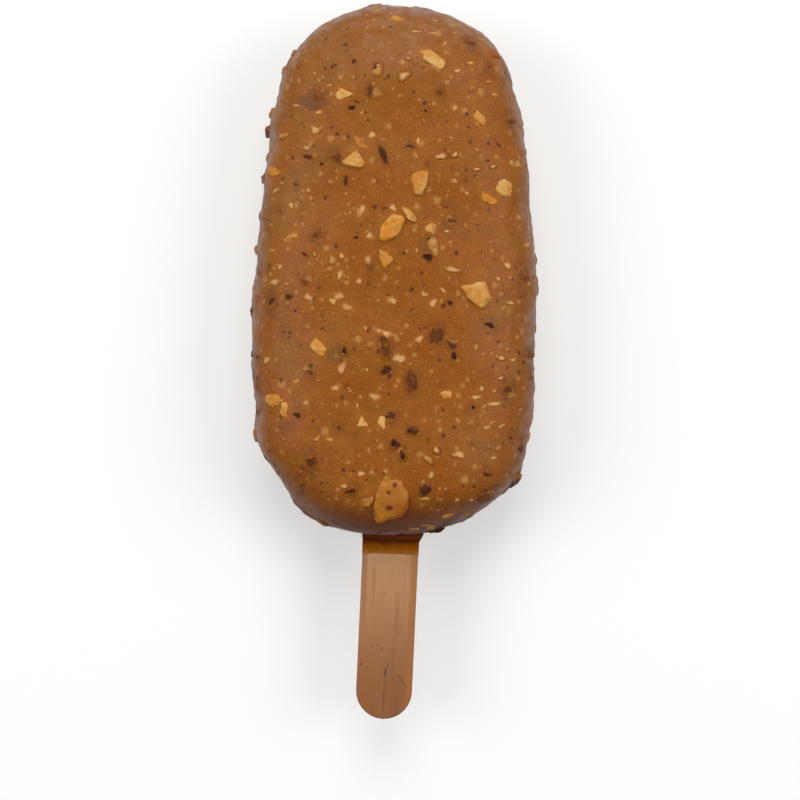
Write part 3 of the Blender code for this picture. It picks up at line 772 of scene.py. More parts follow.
@dataclass(frozen=True)
class Chunks:
    """Chopped nuts or flakes as closed chunks, sunk in the coating: a broad top, sides, a bottom."""

    form: BarForm
    seed: int = 8
    rough_seed: int = 50
    fine: tuple[int, int] = (28, 44)
    coarse: tuple[int, int] = (15, 22)
    sides: int = 5
    sharpness: float = 9.0
    ball: float = 1.1
    top_lean: tuple[float, float] = (0.15, 0.55)
    top_distance: float = 0.6
    ridge_lean: tuple[float, float] = (0.30, 0.80)
    ridge_turn: float = 0.6
    bottom_distance: float = 0.8
    side_distance: tuple[float, float] = (0.62, 1.0)
    side_rise: tuple[float, float] = (-0.1, 0.6)
    side_jitter: float = 0.4
    depth_below: float = 0.3 * MM
    floor_clearance: float = 0.1 * MM
    girdle: float = 0.35
    known_gain: float = 1.10
    known_lean: float = 0.4
    known_rise: float = 0.25
    known_ball: float = 1.9
    known_sharpness: float = 18.0
    fillet: float = 0.14
    fillet_reach: tuple[float, float] = (-0.1 * MM, 0.5 * MM)
    fillet_depth: tuple[float, float] = (1.5 * MM, 3.0 * MM)
    roughness: float = 0.14
    rough_cell: float = 0.45
    fine_rough_cell: float = 0.2
    facet_tones: float = 0.32

    def planes(self, draw: random.Random, corners: np.ndarray | None) -> np.ndarray:
        """A chunk's faces as directions and distances: two tops that meet in a ridge, sides, a bottom.

        Args:
            draw: The random numbers.
            corners: Corners of its outline, where it has a known one, with its half length and width as 1.

        Returns:
            One row for each face: direction and distance.
        """
        turn = draw.uniform(0, 2 * math.pi)
        lean = draw.uniform(*self.top_lean)
        flat = math.sin(lean)
        rows = [(flat * math.cos(turn), flat * math.sin(turn), math.cos(lean), self.top_distance)]
        lean = draw.uniform(*self.ridge_lean)
        across = turn + math.pi + draw.uniform(-self.ridge_turn, self.ridge_turn)
        flat = math.sin(lean)
        rows.append((flat * math.cos(across), flat * math.sin(across), math.cos(lean), self.top_distance))
        for i in range(self.sides):
            angle = turn + 2 * math.pi * i / self.sides + draw.uniform(-self.side_jitter, self.side_jitter)
            up = draw.uniform(*self.side_rise)
            flat = math.sqrt(1 - up * up)
            away = draw.uniform(*self.side_distance)
            rows.append((flat * math.cos(angle), flat * math.sin(angle), up, away))
        if corners is not None:
            tops = np.array(rows[:2])
            tops[:, :2] *= self.known_lean
            tops[:, :3] = unit(tops[:, :3])
            rows = [*tops, *self.known_sides(corners)]
        rows.append((0.0, 0.0, -1.0, self.bottom_distance))
        return np.array(rows)

    def known_sides(self, corners: np.ndarray) -> np.ndarray:
        """Directions and distances of the sides of a known outline: one for each edge, leaning in a little.

        Args:
            corners: The corners, against the clock, with the chunk's half length and width as 1.

        Returns:
            One row for each side.
        """
        edges = np.roll(corners, -1, axis=0) - corners
        flats = unit(np.stack([edges[:, 1], -edges[:, 0]], axis=-1))
        gaps = (flats * corners).sum(axis=-1)
        level = math.sqrt(1 - self.known_rise**2)
        return np.column_stack([level * flats, np.full(len(gaps), self.known_rise), level * gaps])

    def known_corners(self, number: int, row: Topping) -> np.ndarray | None:
        """Corners of a topping whose outline is known, in its own directions, divided by its half sizes.

        Args:
            number: Its place in the list of toppings.
            row: The topping.

        Returns:
            The corners, or nothing where its outline isn't known.
        """
        if number not in NUT_CORNERS:
            return None
        cos, sin = math.cos(math.radians(row.turn)), math.sin(math.radians(row.turn))
        turned = self.known_gain * np.array(NUT_CORNERS[number]) @ np.array([[cos, -sin], [sin, cos]])
        return turned / (0.5 * row.long, 0.5 * row.wide)

    def local_points(
        self, ball: np.ndarray, planes: np.ndarray, size: np.ndarray, seed: int, known: bool
    ) -> np.ndarray:
        """Points of a chunk in its own directions: soft smallest distance to its planes, fitted to size.

        Its depth is fitted to its ends. Its length and width are fitted to the ellipse of the same spread, so
        that one sharp corner doesn't make the rest of it small.

        Args:
            ball: Directions over a sphere.
            planes: The chunk's faces.
            size: Its length, width and depth.
            seed: Seed of its roughness.
            known: Whether its outline is known, so that it keeps its corners.

        Returns:
            Points about its own middle.
        """
        facing = np.maximum(ball @ planes[:, :3].T, 0) / planes[:, 3]
        sharp, furthest = (self.known_sharpness, self.known_ball) if known else (self.sharpness, self.ball)
        radius = ((facing**sharp).sum(axis=-1) + furthest**-sharp) ** (-1 / sharp)
        rough = lattice_noise(ball, self.rough_cell, seed)
        rough = rough + 0.5 * lattice_noise(ball, self.fine_rough_cell, seed + 1)
        local = ball * (radius * (1 + self.roughness * rough))[:, None]
        low, high = local.min(axis=0), local.max(axis=0)
        if known:
            middle = np.array([0, 0, 0.5 * (low[2] + high[2])])
            return (local - middle) * size / np.array([2, 2, high[2] - low[2]])
        local = (local - 0.5 * (low + high)) / (high - low) * size
        girdle = local[np.abs(ball[:, 2]) < self.girdle, :2]
        spread = np.sqrt(2 * (girdle**2).mean(axis=0))
        local[:, :2] *= 0.5 * size[:2] / spread
        return local

    @staticmethod
    def directions(rows: int, columns: int) -> np.ndarray:
        """Directions over a sphere: a pole, rings at even angles from it, and the other pole.

        Args:
            rows: Number of rings.
            columns: Points in each ring.

        Returns:
            The directions.
        """
        tilt = (math.pi * (np.arange(rows) + 1) / (rows + 1))[:, None]
        turn = (2 * math.pi * np.arange(columns) / columns)[None, :]
        out = np.sin(tilt)
        ring = np.stack([out * np.cos(turn), out * np.sin(turn), np.cos(tilt) + 0 * turn], axis=-1)
        return np.vstack([[0, 0, 1], ring.reshape(-1, 3), [0, 0, -1]])

    def place(self, row: Topping) -> tuple[np.ndarray, np.ndarray]:
        """Point on the even skin under a topping, and its long, wide and outward directions as rows.

        Args:
            row: The topping.

        Returns:
            The point and the directions.
        """
        here, (across, along, normal) = self.form.skin_frame(math.radians(row.around), row.y * MM)
        cos, sin = math.cos(math.radians(row.turn)), math.sin(math.radians(row.turn))
        return here, np.array([cos * across + sin * along, cos * along - sin * across, normal])

    def lift(self, local: np.ndarray, row: Topping) -> np.ndarray:
        """How far the coating rises against one chunk: part of its rise, eased out over a rim beside it.

        Args:
            local: Points in the topping's own directions.
            row: The topping.

        Returns:
            Heights in metres.
        """
        half_long, half_wide = 0.5 * row.long * MM, 0.5 * row.wide * MM
        reach = np.hypot(local[..., 0] / half_long, local[..., 1] / half_wide)
        beside = (reach - 1) * 0.5 * (half_long + half_wide)
        near = 1 - smooth_step(np.abs(local[..., 2]), *self.fillet_depth)
        return self.fillet * row.rise * MM * (1 - smooth_step(beside, *self.fillet_reach)) * near

    def build(self, rows: list[Topping], kind: Kind) -> Surface:
        """Joins a closed chunk for each topping of a kind, with its height over the coating and its look.

        The named toppings get the fine grid and the others the coarse one.

        Args:
            rows: All toppings, in the order of their random draws.
            kind: The kind that is built.

        Returns:
            The joined surface.
        """
        draw = random.Random(self.seed)
        named = len(SHOWN_NUTS) + len(SHOWN_FLAKES) + len(EDGE_TOPPINGS)
        faces, parts = [], []
        values = {"height": [], "tone": [], "cover": [], "rim": [], "painted_sheen": [], "neck_shade": []}
        for number, row in enumerate(rows):
            corners = self.known_corners(number, row)
            planes = self.planes(draw, corners)
            if row.kind is not kind:
                continue
            grid = self.fine if number < named else self.coarse
            ball = self.directions(*grid)
            deep = 2 * row.rise * MM + self.depth_below
            size = np.array([row.long * MM, row.wide * MM, deep])
            local = self.local_points(ball, planes, size, self.rough_seed + number, corners is not None)
            here, axes = self.place(row)
            swell = float(self.form.waves(here) + self.form.fine_lumps(here, axes[2]))
            points = here + axes[2] * (swell + row.rise * MM - 0.5 * deep) + local @ axes
            points[:, 2] = np.maximum(points[:, 2], self.floor_clearance)
            height, outwards = self.form.height_above(points)
            facet = (ball @ planes[:, :3].T / planes[:, 3]).argmax(axis=-1)
            shades = np.random.default_rng(number).uniform(-self.facet_tones, self.facet_tones, len(planes))
            faces += closed_rings(*grid, first=sum(len(part) for part in parts))
            parts.append(points)
            values["height"].append(height / MM)
            values["tone"].append(row.tone + shades[facet])
            values["cover"].append(np.full(len(ball), row.cover))
            values["rim"].append(2 * np.hypot(local[:, 0] / row.long, local[:, 1] / row.wide) / MM)
            for name, value in self.form.painted_light(points, outwards).items():
                values[name].append(value)
        joined = {name: np.concatenate(value) for name, value in values.items()}
        return Surface(np.vstack(parts), faces, joined)


@dataclass(frozen=True)
class Patches:
    """Small toppings as thin closed lenses that follow the coating: a low dome whose edge dips under it."""

    form: BarForm
    spokes: int = 14
    rings: tuple[tuple[float, float], ...] = (
        *((0.3, 0.95), (0.6, 0.75), (0.85, 0.45)),
        *((1.0, 0.1), (1.15, -0.5), (1.3, -1.2)),
    )
    bottom: float = -0.2 * MM
    uneven: float = 0.22
    finer_share: float = 0.7
    settle_steps: int = 3
    floor_clearance: float = 0.02 * MM
    seed: int = 19

    def build(self, rows: list[Topping], chunks: Chunks) -> Surface:
        """Joins a lens for each topping: ring r is r times an outline of two sines, at its share of the rise.

        Args:
            rows: The toppings.
            chunks: The rule that places them.

        Returns:
            The joined surface.
        """
        draw = np.random.default_rng(self.seed)
        count = len(rows)
        angles = 2 * math.pi * np.arange(self.spokes) / self.spokes
        offsets = draw.uniform(0, 2 * math.pi, (count, 2, 1))
        outline = 1 + self.uneven * np.sin(2 * angles + offsets[:, 0])
        outline = outline + self.finer_share * self.uneven * np.sin(3 * angles + offsets[:, 1])
        halves = 0.5 * MM * np.array([[row.long, row.wide] for row in rows])
        circle = np.stack([np.cos(angles), np.sin(angles)], axis=-1)
        placed = [chunks.place(row) for row in rows]
        here = np.array([point for point, _ in placed])[:, None]
        axes = np.array([directions for _, directions in placed])
        radii = np.array([radius for radius, _ in self.rings])
        flat = outline[:, None, :, None] * circle * radii[:, None, None] * halves[:, None, None]
        pole = np.zeros((count, 1, 2))
        points = here + np.concatenate([pole, flat.reshape(count, -1, 2), pole], axis=1) @ axes[:, :2]
        for _ in range(self.settle_steps):
            height, outwards = self.form.height_above(points)
            points = points - outwards * height[..., None]
        rise = MM * np.array([row.rise for row in rows])[:, None]
        share = np.concatenate([[1.0], np.repeat([lift for _, lift in self.rings], self.spokes)])
        lifts = np.concatenate([rise * share, np.full((count, 1), self.bottom)], axis=1)
        points = points + outwards * lifts[..., None]
        points[..., 2] = np.maximum(points[..., 2], self.floor_clearance)
        one = closed_rings(len(self.rings), self.spokes)
        size = points.shape[1]
        faces = [tuple(corner + size * number for corner in face) for number in range(count) for face in one]
        rim = np.concatenate([[0.0], np.repeat(radii, self.spokes), [1.0]]) + np.zeros((count, 1))
        tone = np.array([row.tone for row in rows])[:, None] + np.zeros((1, size))
        cover = np.array([row.cover for row in rows])[:, None] + np.zeros((1, size))
        values = {"height": np.full((count, size), 1.0), "tone": tone, "cover": cover, "rim": rim}
        values.update(self.form.painted_light(points, outwards))
        return Surface(points.reshape(-1, 3), faces, values)


class Board:
    """A node tree with short ways to place and join nodes."""

    first_colour = 6
    second_colour = 7
    mixed_colour = 2
    speck_power = 1.6
    speck_edge = (-0.3, 0.7)

    def __init__(self, tree: bpy.types.NodeTree) -> None:
        """Keeps the tree."""
        self.tree = tree

    def add(self, kind: str, **settings: object) -> bpy.types.Node:
        """Places a node and applies its settings.

        Args:
            kind: Type of the node.
            settings: Values of the node's own properties, by name.

        Returns:
            The node.
        """
        node = self.tree.nodes.new(kind)
        for name, value in settings.items():
            setattr(node, name, value)
        return node

    def feed(self, socket: bpy.types.NodeSocket, value: object) -> None:
        """Joins an output to a socket, or sets the socket to a plain value.

        Args:
            socket: The socket that is fed.
            value: An output of another node, or a plain value.
        """
        if isinstance(value, bpy.types.NodeSocket):
            self.tree.links.new(value, socket)
        else:
            socket.default_value = value

    def math(
        self, operation: str, first: object, second: object = 0.0, clamp: bool = False
    ) -> bpy.types.NodeSocket:
        """One operation on two numbers.

        Args:
            operation: Its name in the math node.
            first: The first number.
            second: The second number.
            clamp: Whether the answer is kept between 0 and 1.

        Returns:
            The answer.
        """
        node = self.add("ShaderNodeMath", operation=operation, use_clamp=clamp)
        self.feed(node.inputs[0], first)
        self.feed(node.inputs[1], second)
        return node.outputs[0]

    def plus(self, first: object, second: object) -> bpy.types.NodeSocket:
        """The sum of two numbers."""
        return self.math("ADD", first, second)

    def times(self, first: object, second: object) -> bpy.types.NodeSocket:
        """The product of two numbers."""
        return self.math("MULTIPLY", first, second)

    def larger(self, first: object, second: object) -> bpy.types.NodeSocket:
        """The larger of two numbers."""
        return self.math("MAXIMUM", first, second)

    def split(self, vector: object) -> tuple[bpy.types.NodeSocket, bpy.types.NodeSocket]:
        """The first two parts of a vector."""
        parts = self.add("ShaderNodeSeparateXYZ")
        self.feed(parts.inputs[0], vector)
        return parts.outputs[0], parts.outputs[1]

    def about_zero(self, noise: object, width: float) -> bpy.types.NodeSocket:
        """Noise between 0 and 1 turned into noise about 0 that is width wide."""
        return self.times(self.math("SUBTRACT", noise, 0.5), width)

    def ease(
        self, value: object, low: object, high: object, to_low: float = 0.0, to_high: float = 1.0
    ) -> bpy.types.NodeSocket:
        """Eases from to_low at low to to_high at high.

        Args:
            value: The number that is eased.
            low: Where the easing starts.
            high: Where it ends.
            to_low: What comes out up to the start.
            to_high: What comes out past the end.

        Returns:
            The eased number.
        """
        node = self.add("ShaderNodeMapRange", interpolation_type="SMOOTHSTEP", clamp=True)
        for index, given in enumerate((value, low, high, to_low, to_high)):
            self.feed(node.inputs[index], given)
        return node.outputs[0]

    def mix(self, share: object, first: object, second: object) -> bpy.types.NodeSocket:
        """Mixes two colours.

        Args:
            share: Share of the second colour.
            first: The first colour.
            second: The second colour.

        Returns:
            The mixed colour.
        """
        node = self.add("ShaderNodeMix", data_type="RGBA", clamp_factor=True)
        self.feed(node.inputs[0], share)
        self.feed(node.inputs[self.first_colour], first)
        self.feed(node.inputs[self.second_colour], second)
        return node.outputs[self.mixed_colour]

    def noise(self, place: object, cell: float, detail: float, rough: float) -> bpy.types.NodeSocket:
        """Smooth noise.

        Args:
            place: The point in millimetres.
            cell: Width of its cells in millimetres.
            detail: How many finer layers are added.
            rough: Share of each finer layer.

        Returns:
            A number between 0 and 1.
        """
        node = self.add("ShaderNodeTexNoise", noise_dimensions="3D")
        self.feed(node.inputs["Vector"], place)
        node.inputs["Scale"].default_value = 1 / cell
        node.inputs["Detail"].default_value = detail
        node.inputs["Roughness"].default_value = rough
        return node.outputs["Fac"]

    def bend(self, place: object, cell: float, reach: float) -> bpy.types.NodeSocket:
        """The point moved to and fro by noise, so that what is drawn on it gets an uneven outline.

        Args:
            place: The point in millimetres.
            cell: Width of the noise's cells.
            reach: How far it moves.

        Returns:
            The moved point.
        """
        warp = self.add("ShaderNodeTexNoise", noise_dimensions="3D")
        self.feed(warp.inputs["Vector"], place)
        warp.inputs["Scale"].default_value = 1 / cell
        moved = self.add("ShaderNodeVectorMath", operation="MULTIPLY_ADD")
        self.feed(moved.inputs[0], warp.outputs["Color"])
        moved.inputs[1].default_value = (reach, reach, reach)
        self.feed(moved.inputs[2], place)
        return moved.outputs[0]

    def spots(
        self, place: object, cell: float, radii: tuple[float, float], soft: float, share: float
    ) -> bpy.types.NodeSocket:
        """Mask of round specks at random places: one to a cell, each of its own radius, with soft edges.

        Args:
            place: The point in millimetres.
            cell: Width of a cell.
            radii: Radius of the smallest and of the largest speck.
            soft: Width of the soft edge.
            share: Share of the cells that hold a speck.

        Returns:
            A mask, 1 in the middle of a speck.
        """
        cells = self.add("ShaderNodeTexVoronoi", voronoi_dimensions="3D", feature="F1")
        self.feed(cells.inputs["Vector"], place)
        cells.inputs["Scale"].default_value = 1 / cell
        parts = self.add("ShaderNodeSeparateColor")
        self.feed(parts.inputs[0], cells.outputs["Color"])
        least, most = radii
        radius = self.times(self.math("POWER", parts.outputs[0], self.speck_power), most - least)
        radius = self.plus(radius, least)
        inside = self.math("SUBTRACT", radius, self.times(cells.outputs["Distance"], cell))
        held = self.math("LESS_THAN", parts.outputs[1], share)
        low, high = self.speck_edge
        return self.times(self.ease(inside, low * soft, high * soft), held)

    def millimetres(self) -> bpy.types.NodeSocket:
        """The piece's own Object coordinates in millimetres."""
        place = self.add("ShaderNodeTexCoord")
        scaled = self.add("ShaderNodeVectorMath", operation="SCALE")
        self.feed(scaled.inputs[0], place.outputs["Object"])
        scaled.inputs["Scale"].default_value = 1 / MM
        return scaled.outputs[0]

    def attribute(self, name: str) -> bpy.types.NodeSocket:
        """A named value that the mesh carries."""
        return self.add("ShaderNodeAttribute", attribute_name=name).outputs["Fac"]

    def bump(self, height: object, strength: float, distance: float) -> bpy.types.NodeSocket:
        """Normal of a relief.

        Args:
            height: The relief, 0 to 1.
            strength: How strongly it shows.
            distance: Its full height in metres.

        Returns:
            The normal.
        """
        node = self.add("ShaderNodeBump")
        node.inputs["Strength"].default_value = strength
        node.inputs["Distance"].default_value = distance
        self.feed(node.inputs["Height"], height)
        return node.outputs[0]


class Pattern:
    """A node group with named inputs and outputs, built once and placed in each material."""

    def __init__(self, name: str, inputs: dict[str, float], outputs: dict[str, str]) -> None:
        """Makes the group and its sockets.

        Args:
            name: Name of the group.
            inputs: Name and first value of each number that goes in.
            outputs: Name and socket type of each value that comes out.
        """
        self.tree = bpy.data.node_groups.new(name, "ShaderNodeTree")
        for label, value in inputs.items():
            socket = self.tree.interface.new_socket(label, in_out="INPUT", socket_type="NodeSocketFloat")
            socket.default_value = value
        for label, kind in outputs.items():
            self.tree.interface.new_socket(label, in_out="OUTPUT", socket_type=kind)
        self.board = Board(self.tree)
        self.given = self.board.add("NodeGroupInput")
        self.result = self.board.add("NodeGroupOutput")

    def put(self, board: Board, **values: object) -> bpy.types.Node:
        """Places the group in a material with its own values.

        Args:
            board: The material's board.
            values: Numbers for the group's inputs, by their names in small letters.

        Returns:
            The group's node.
        """
        node = board.add("ShaderNodeGroup", node_tree=self.tree)
        for label, value in values.items():
            board.feed(node.inputs[label.capitalize()], value)
        return node


@dataclass(frozen=True)
class Mark:
    """One patch of colour at a named place: its middle and radius in millimetres, its strength and colour.

    squash divides its radius along each axis: 0.5 makes it twice as long there, and 0 endless.
    turn is the angle in degrees by which it is turned against the clock. core is the share of its radius that
    has its full strength.
    """

    x: float
    y: float
    z: float
    radius: float
    share: float
    colour: Colour
    squash: tuple[float, float, float] = (1.0, 1.0, 1.0)
    turn: float = 0.0
    core: float = 0.35

    def paint(self, board: Board, place: object, colour: object) -> bpy.types.NodeSocket:
        """Mixes the patch in where the point lies within its radius, easing out to the edge.

        Args:
            board: The board.
            place: The point in millimetres.
            colour: The colour without the patch.

        Returns:
            The colour with the patch.
        """
        apart = board.add("ShaderNodeVectorMath", operation="SUBTRACT")
        board.feed(apart.inputs[0], place)
        apart.inputs[1].default_value = (self.x, self.y, self.z)
        turned = board.add("ShaderNodeVectorRotate", rotation_type="Z_AXIS")
        board.feed(turned.inputs["Vector"], apart.outputs[0])
        turned.inputs["Angle"].default_value = -math.radians(self.turn)
        squashed = board.add("ShaderNodeVectorMath", operation="MULTIPLY")
        board.feed(squashed.inputs[0], turned.outputs[0])
        squashed.inputs[1].default_value = self.squash
        gap = board.add("ShaderNodeVectorMath", operation="LENGTH")
        board.feed(gap.inputs[0], squashed.outputs[0])
        mask = board.ease(gap.outputs["Value"], self.radius, self.core * self.radius, 0.0, self.share)
        return board.mix(mask, colour, self.colour)


@dataclass(frozen=True)
class Specks:
    """One size of painted speck in the coating."""

    cell: float
    radii: tuple[float, float]
    soft: float
    share: float
    opacity: float
    colour: Colour


@dataclass(frozen=True)
class CoatingPattern:
    """Colour and relief of the caramel-coloured coating, the same wherever it lies.

    Noises are given as cell, detail and roughness, and eased numbers as from, to, first value and last value.
    """

    reddish: Colour = linear(141, 78, 10)
    olive: Colour = linear(137, 84, 15)
    deep: Colour = linear(118, 57, 5)
    grain_light: Colour = linear(186, 128, 66)
    # Colours of the painted sheen and of the painted shade at the neck end, and the shade's share
    painted_sheen: Colour = linear(144, 122, 112)
    neck: Colour = linear(86, 47, 36)
    neck_shade_share: float = 0.70
    large: tuple[Specks, ...] = (
        Specks(3.6, (0.35, 0.80), 0.50, 0.40, 0.50, linear(74, 36, 22)),
        Specks(2.7, (0.35, 0.90), 0.60, 0.55, 0.50, linear(190, 142, 74)),
        Specks(1.9, (0.20, 0.46), 0.20, 0.75, 0.80, linear(72, 28, 14)),
        Specks(1.5, (0.20, 0.50), 0.35, 0.55, 0.50, linear(190, 140, 74)),
    )
    small: tuple[Specks, ...] = (
        Specks(0.9, (0.08, 0.17), 0.09, 0.35, 0.50, linear(84, 40, 20)),
        Specks(0.8, (0.07, 0.17), 0.10, 0.35, 0.42, linear(196, 144, 88)),
    )
    large_bend: tuple[float, float] = (0.62, 0.8)
    small_bend: tuple[float, float] = (0.25, 0.25)
    blotches: tuple[float, float, float] = (6.5, 2.0, 0.55)
    clouds: tuple[float, float, float] = (2.2, 3.0, 0.6)
    grains: tuple[float, float, float] = (0.22, 2.0, 0.6)
    olive_across: tuple[float, float, float, float] = (0.0, 55.0, -0.02, 0.18)
    olive_along: tuple[float, float, float, float] = (-50.0, -30.0, -0.24, 0.0)
    olive_share: tuple[float, float] = (0.28, 0.72)
    deep_clouds: tuple[float, float, float, float] = (0.35, 0.75, 0.40, 0.0)
    light_grains: tuple[float, float, float, float] = (0.52, 0.74, 0.0, 0.42)
    dark_grains: tuple[float, float, float, float] = (0.47, 0.28, 0.0, 0.48)
    # The painted sheen, broken into patches by the clouds
    sheen_patches: tuple[float, float, float, float] = (0.3, 0.7, 0.0825, 0.935)
    gloss: tuple[float, float, float, float] = (0.3, 0.7, 0.52, 0.40)
    grain_relief: float = 0.45
    cloud_relief: float = 0.5
    speck_relief: float = 0.25

    def build(self) -> Pattern:
        """Builds the group.

        Returns:
            The pattern: grain, painted sheen and painted neck shade go in; a colour, a relief and a roughness
                come out.
        """
        outputs = {"Color": "NodeSocketColor", "Relief": "NodeSocketFloat", "Gloss": "NodeSocketFloat"}
        pattern = Pattern("caramel coating", {"Grain": 1.0, "Painted_sheen": 0.0, "Neck": 0.0}, outputs)
        board, amount = pattern.board, pattern.given.outputs["Grain"]
        place = board.millimetres()
        x, y = board.split(place)
        trend = board.ease(board.math("SUBTRACT", y, x), *self.olive_across)
        trend = board.plus(board.noise(place, *self.blotches), trend)
        trend = board.plus(trend, board.ease(y, *self.olive_along))
        colour = board.mix(board.ease(trend, *self.olive_share), self.reddish, self.olive)
        cloud = board.noise(place, *self.clouds)
        colour = board.mix(board.ease(cloud, *self.deep_clouds), colour, self.deep)
        grain = board.noise(place, *self.grains)
        light = board.times(board.ease(grain, *self.light_grains), amount)
        colour = board.mix(light, colour, self.grain_light)
        dark = board.times(board.ease(grain, *self.dark_grains), amount)
        colour = board.mix(dark, colour, self.deep)
        pale = 0.0
        for specks, bend in ((self.large, self.large_bend), (self.small, self.small_bend)):
            bent = board.bend(place, *bend)
            for row in specks:
                mask = board.spots(bent, row.cell, row.radii, row.soft, row.share)
                colour = board.mix(board.times(mask, row.opacity), colour, row.colour)
            pale = board.larger(pale, mask)
        # Painted sheen in patches, then painted shade at the neck end
        sheen_weight = board.times(pattern.given.outputs["Painted_sheen"], board.ease(cloud, *self.sheen_patches))
        colour = board.mix(sheen_weight, colour, self.painted_sheen)
        neck = board.times(pattern.given.outputs["Neck"], self.neck_shade_share)
        colour = board.mix(neck, colour, self.neck)
        relief = board.plus(board.times(grain, self.grain_relief), board.times(cloud, self.cloud_relief))
        relief = board.plus(relief, board.times(pale, self.speck_relief))
        board.feed(pattern.result.inputs["Color"], colour)
        board.feed(pattern.result.inputs["Relief"], relief)
        board.feed(pattern.result.inputs["Gloss"], board.ease(grain, *self.gloss))
        return pattern


class Finish:
    """A material of one Principled shader and the board that its pattern is built on."""

    def __init__(self, name: str) -> None:
        """Makes the material and keeps its shader and board."""
        self.material = bpy.data.materials.new(name)
        self.material.use_nodes = True
        self.board = Board(self.material.node_tree)
        self.shader = self.material.node_tree.nodes["Principled BSDF"]

    def wear(self, piece: bpy.types.Object) -> None:
        """Puts the material on a piece."""
        piece.data.materials.clear()
        piece.data.materials.append(self.material)


# Dark surrounds and streaks of the shown face, and the pits of its largest nut
COATING_MARKS = (
    Mark(10.6, 7.0, 23.6, 1.8, 0.30, linear(96, 62, 26), (0.8, 1.0, 0.3)),
    Mark(6.4, 5.0, 23.8, 2.0, 0.38, linear(92, 58, 24), (1.0, 0.7, 0.3)),
    Mark(-14.2, 29.6, 23.0, 2.0, 0.60, linear(88, 60, 38), (0.6, 1.0, 0.3), -20.0),
    Mark(-8.6, -14.6, 23.6, 2.2, 0.38, linear(84, 58, 26), (0.7, 1.0, 0.3)),
    Mark(-17.6, -27.2, 23.0, 1.8, 0.40, linear(96, 46, 16), (0.7, 1.0, 0.3)),
)
NUT_MARKS = (
    Mark(0.2, -40.0, 24.0, 5.0, 0.45, linear(140, 84, 36), (1.0, 1.0, 0.3)),
    Mark(1.9, -42.4, 24.0, 2.0, 0.75, linear(150, 72, 2), (1.0, 0.8, 0.3)),
    Mark(-1.8, -43.8, 24.0, 1.8, 0.60, linear(176, 102, 6), (1.0, 1.0, 0.3)),
    Mark(0.6, -38.0, 24.0, 0.80, 0.95, linear(104, 40, 16), (1.2, 1.0, 0.3)),
    Mark(-0.5, -39.3, 24.0, 0.50, 0.95, linear(92, 34, 14), (1.0, 1.0, 0.3)),
    Mark(-0.3, -42.0, 24.0, 0.85, 0.95, linear(92, 38, 18), (0.8, 1.1, 0.3)),
    Mark(-4.0, -39.9, 23.4, 0.70, 0.80, linear(90, 38, 20), (1.0, 1.0, 0.3)),
    Mark(17.2, 37.9, 19.0, 2.8, 0.95, linear(148, 72, 12), (1.0, 1.0, 0.4)),
)


# Colours of the nuts and crumbs, and of the flakes and specks, which are also more ragged
CREAM = linear(203, 159, 92)
TOASTED = linear(192, 122, 26)
NUT_PIT = linear(150, 86, 18)
CRUMB = linear(202, 154, 96)
TAN = linear(186, 128, 62)
BLACK = linear(46, 14, 8)
BROWN = linear(88, 48, 28)
INK = linear(30, 8, 4)
RAGGED = 0.26


@dataclass(frozen=True)
class CoatingFinish:
    """Satin caramel coating with shader sheen, painted sheen and painted neck shade; warmer beside nuts,
    darker beside flakes.
    """

    pattern: Pattern
    ior: float = 1.28
    sheen_weight: float = 0.30
    frost_roughness: float = 0.30
    frost_tint: Colour = (0.80, 0.72, 0.80, 1.0)
    relief: float = 0.06 * MM
    warm: Colour = linear(160, 92, 16)
    warm_share: float = 0.45
    shade: Colour = linear(80, 44, 22)
    shade_share: float = 0.50
    patches: tuple[float, float, float] = (1.3, 2.0, 0.6)
    patch_ease: tuple[float, float, float, float] = (0.35, 0.65, 0.1, 1.0)
    mark_bend: tuple[float, float] = (1.4, 1.8)

    def make(self) -> Finish:
        """Builds the material: the coating's pattern, tinted by the values that the mesh carries.

        Returns:
            The finish.
        """
        finish = Finish("caramel coating")
        board = finish.board
        # The painted sheen and the painted neck shade that the mesh carries
        painted_sheen, neck = board.attribute("painted_sheen"), board.attribute("neck_shade")
        look = self.pattern.put(board, grain=1.0, painted_sheen=painted_sheen, neck=neck)
        place = board.millimetres()
        patchy = board.ease(board.noise(place, *self.patches), *self.patch_ease)
        warm = board.times(board.times(board.attribute("nut_near"), patchy), self.warm_share)
        dark = board.times(board.times(board.attribute("flake_near"), patchy), self.shade_share)
        colour = board.mix(warm, look.outputs["Color"], self.warm)
        colour = board.mix(dark, colour, self.shade)
        ragged = board.bend(place, *self.mark_bend)
        for mark in COATING_MARKS:
            colour = mark.paint(board, ragged, colour)
        board.feed(finish.shader.inputs["Base Color"], colour)
        board.feed(finish.shader.inputs["Roughness"], look.outputs["Gloss"])
        finish.shader.inputs["IOR"].default_value = self.ior
        finish.shader.inputs["Sheen Weight"].default_value = self.sheen_weight
        finish.shader.inputs["Sheen Roughness"].default_value = self.frost_roughness
        finish.shader.inputs["Sheen Tint"].default_value = self.frost_tint
        board.feed(finish.shader.inputs["Normal"], board.bump(look.outputs["Relief"], 1.0, self.relief))
        return finish


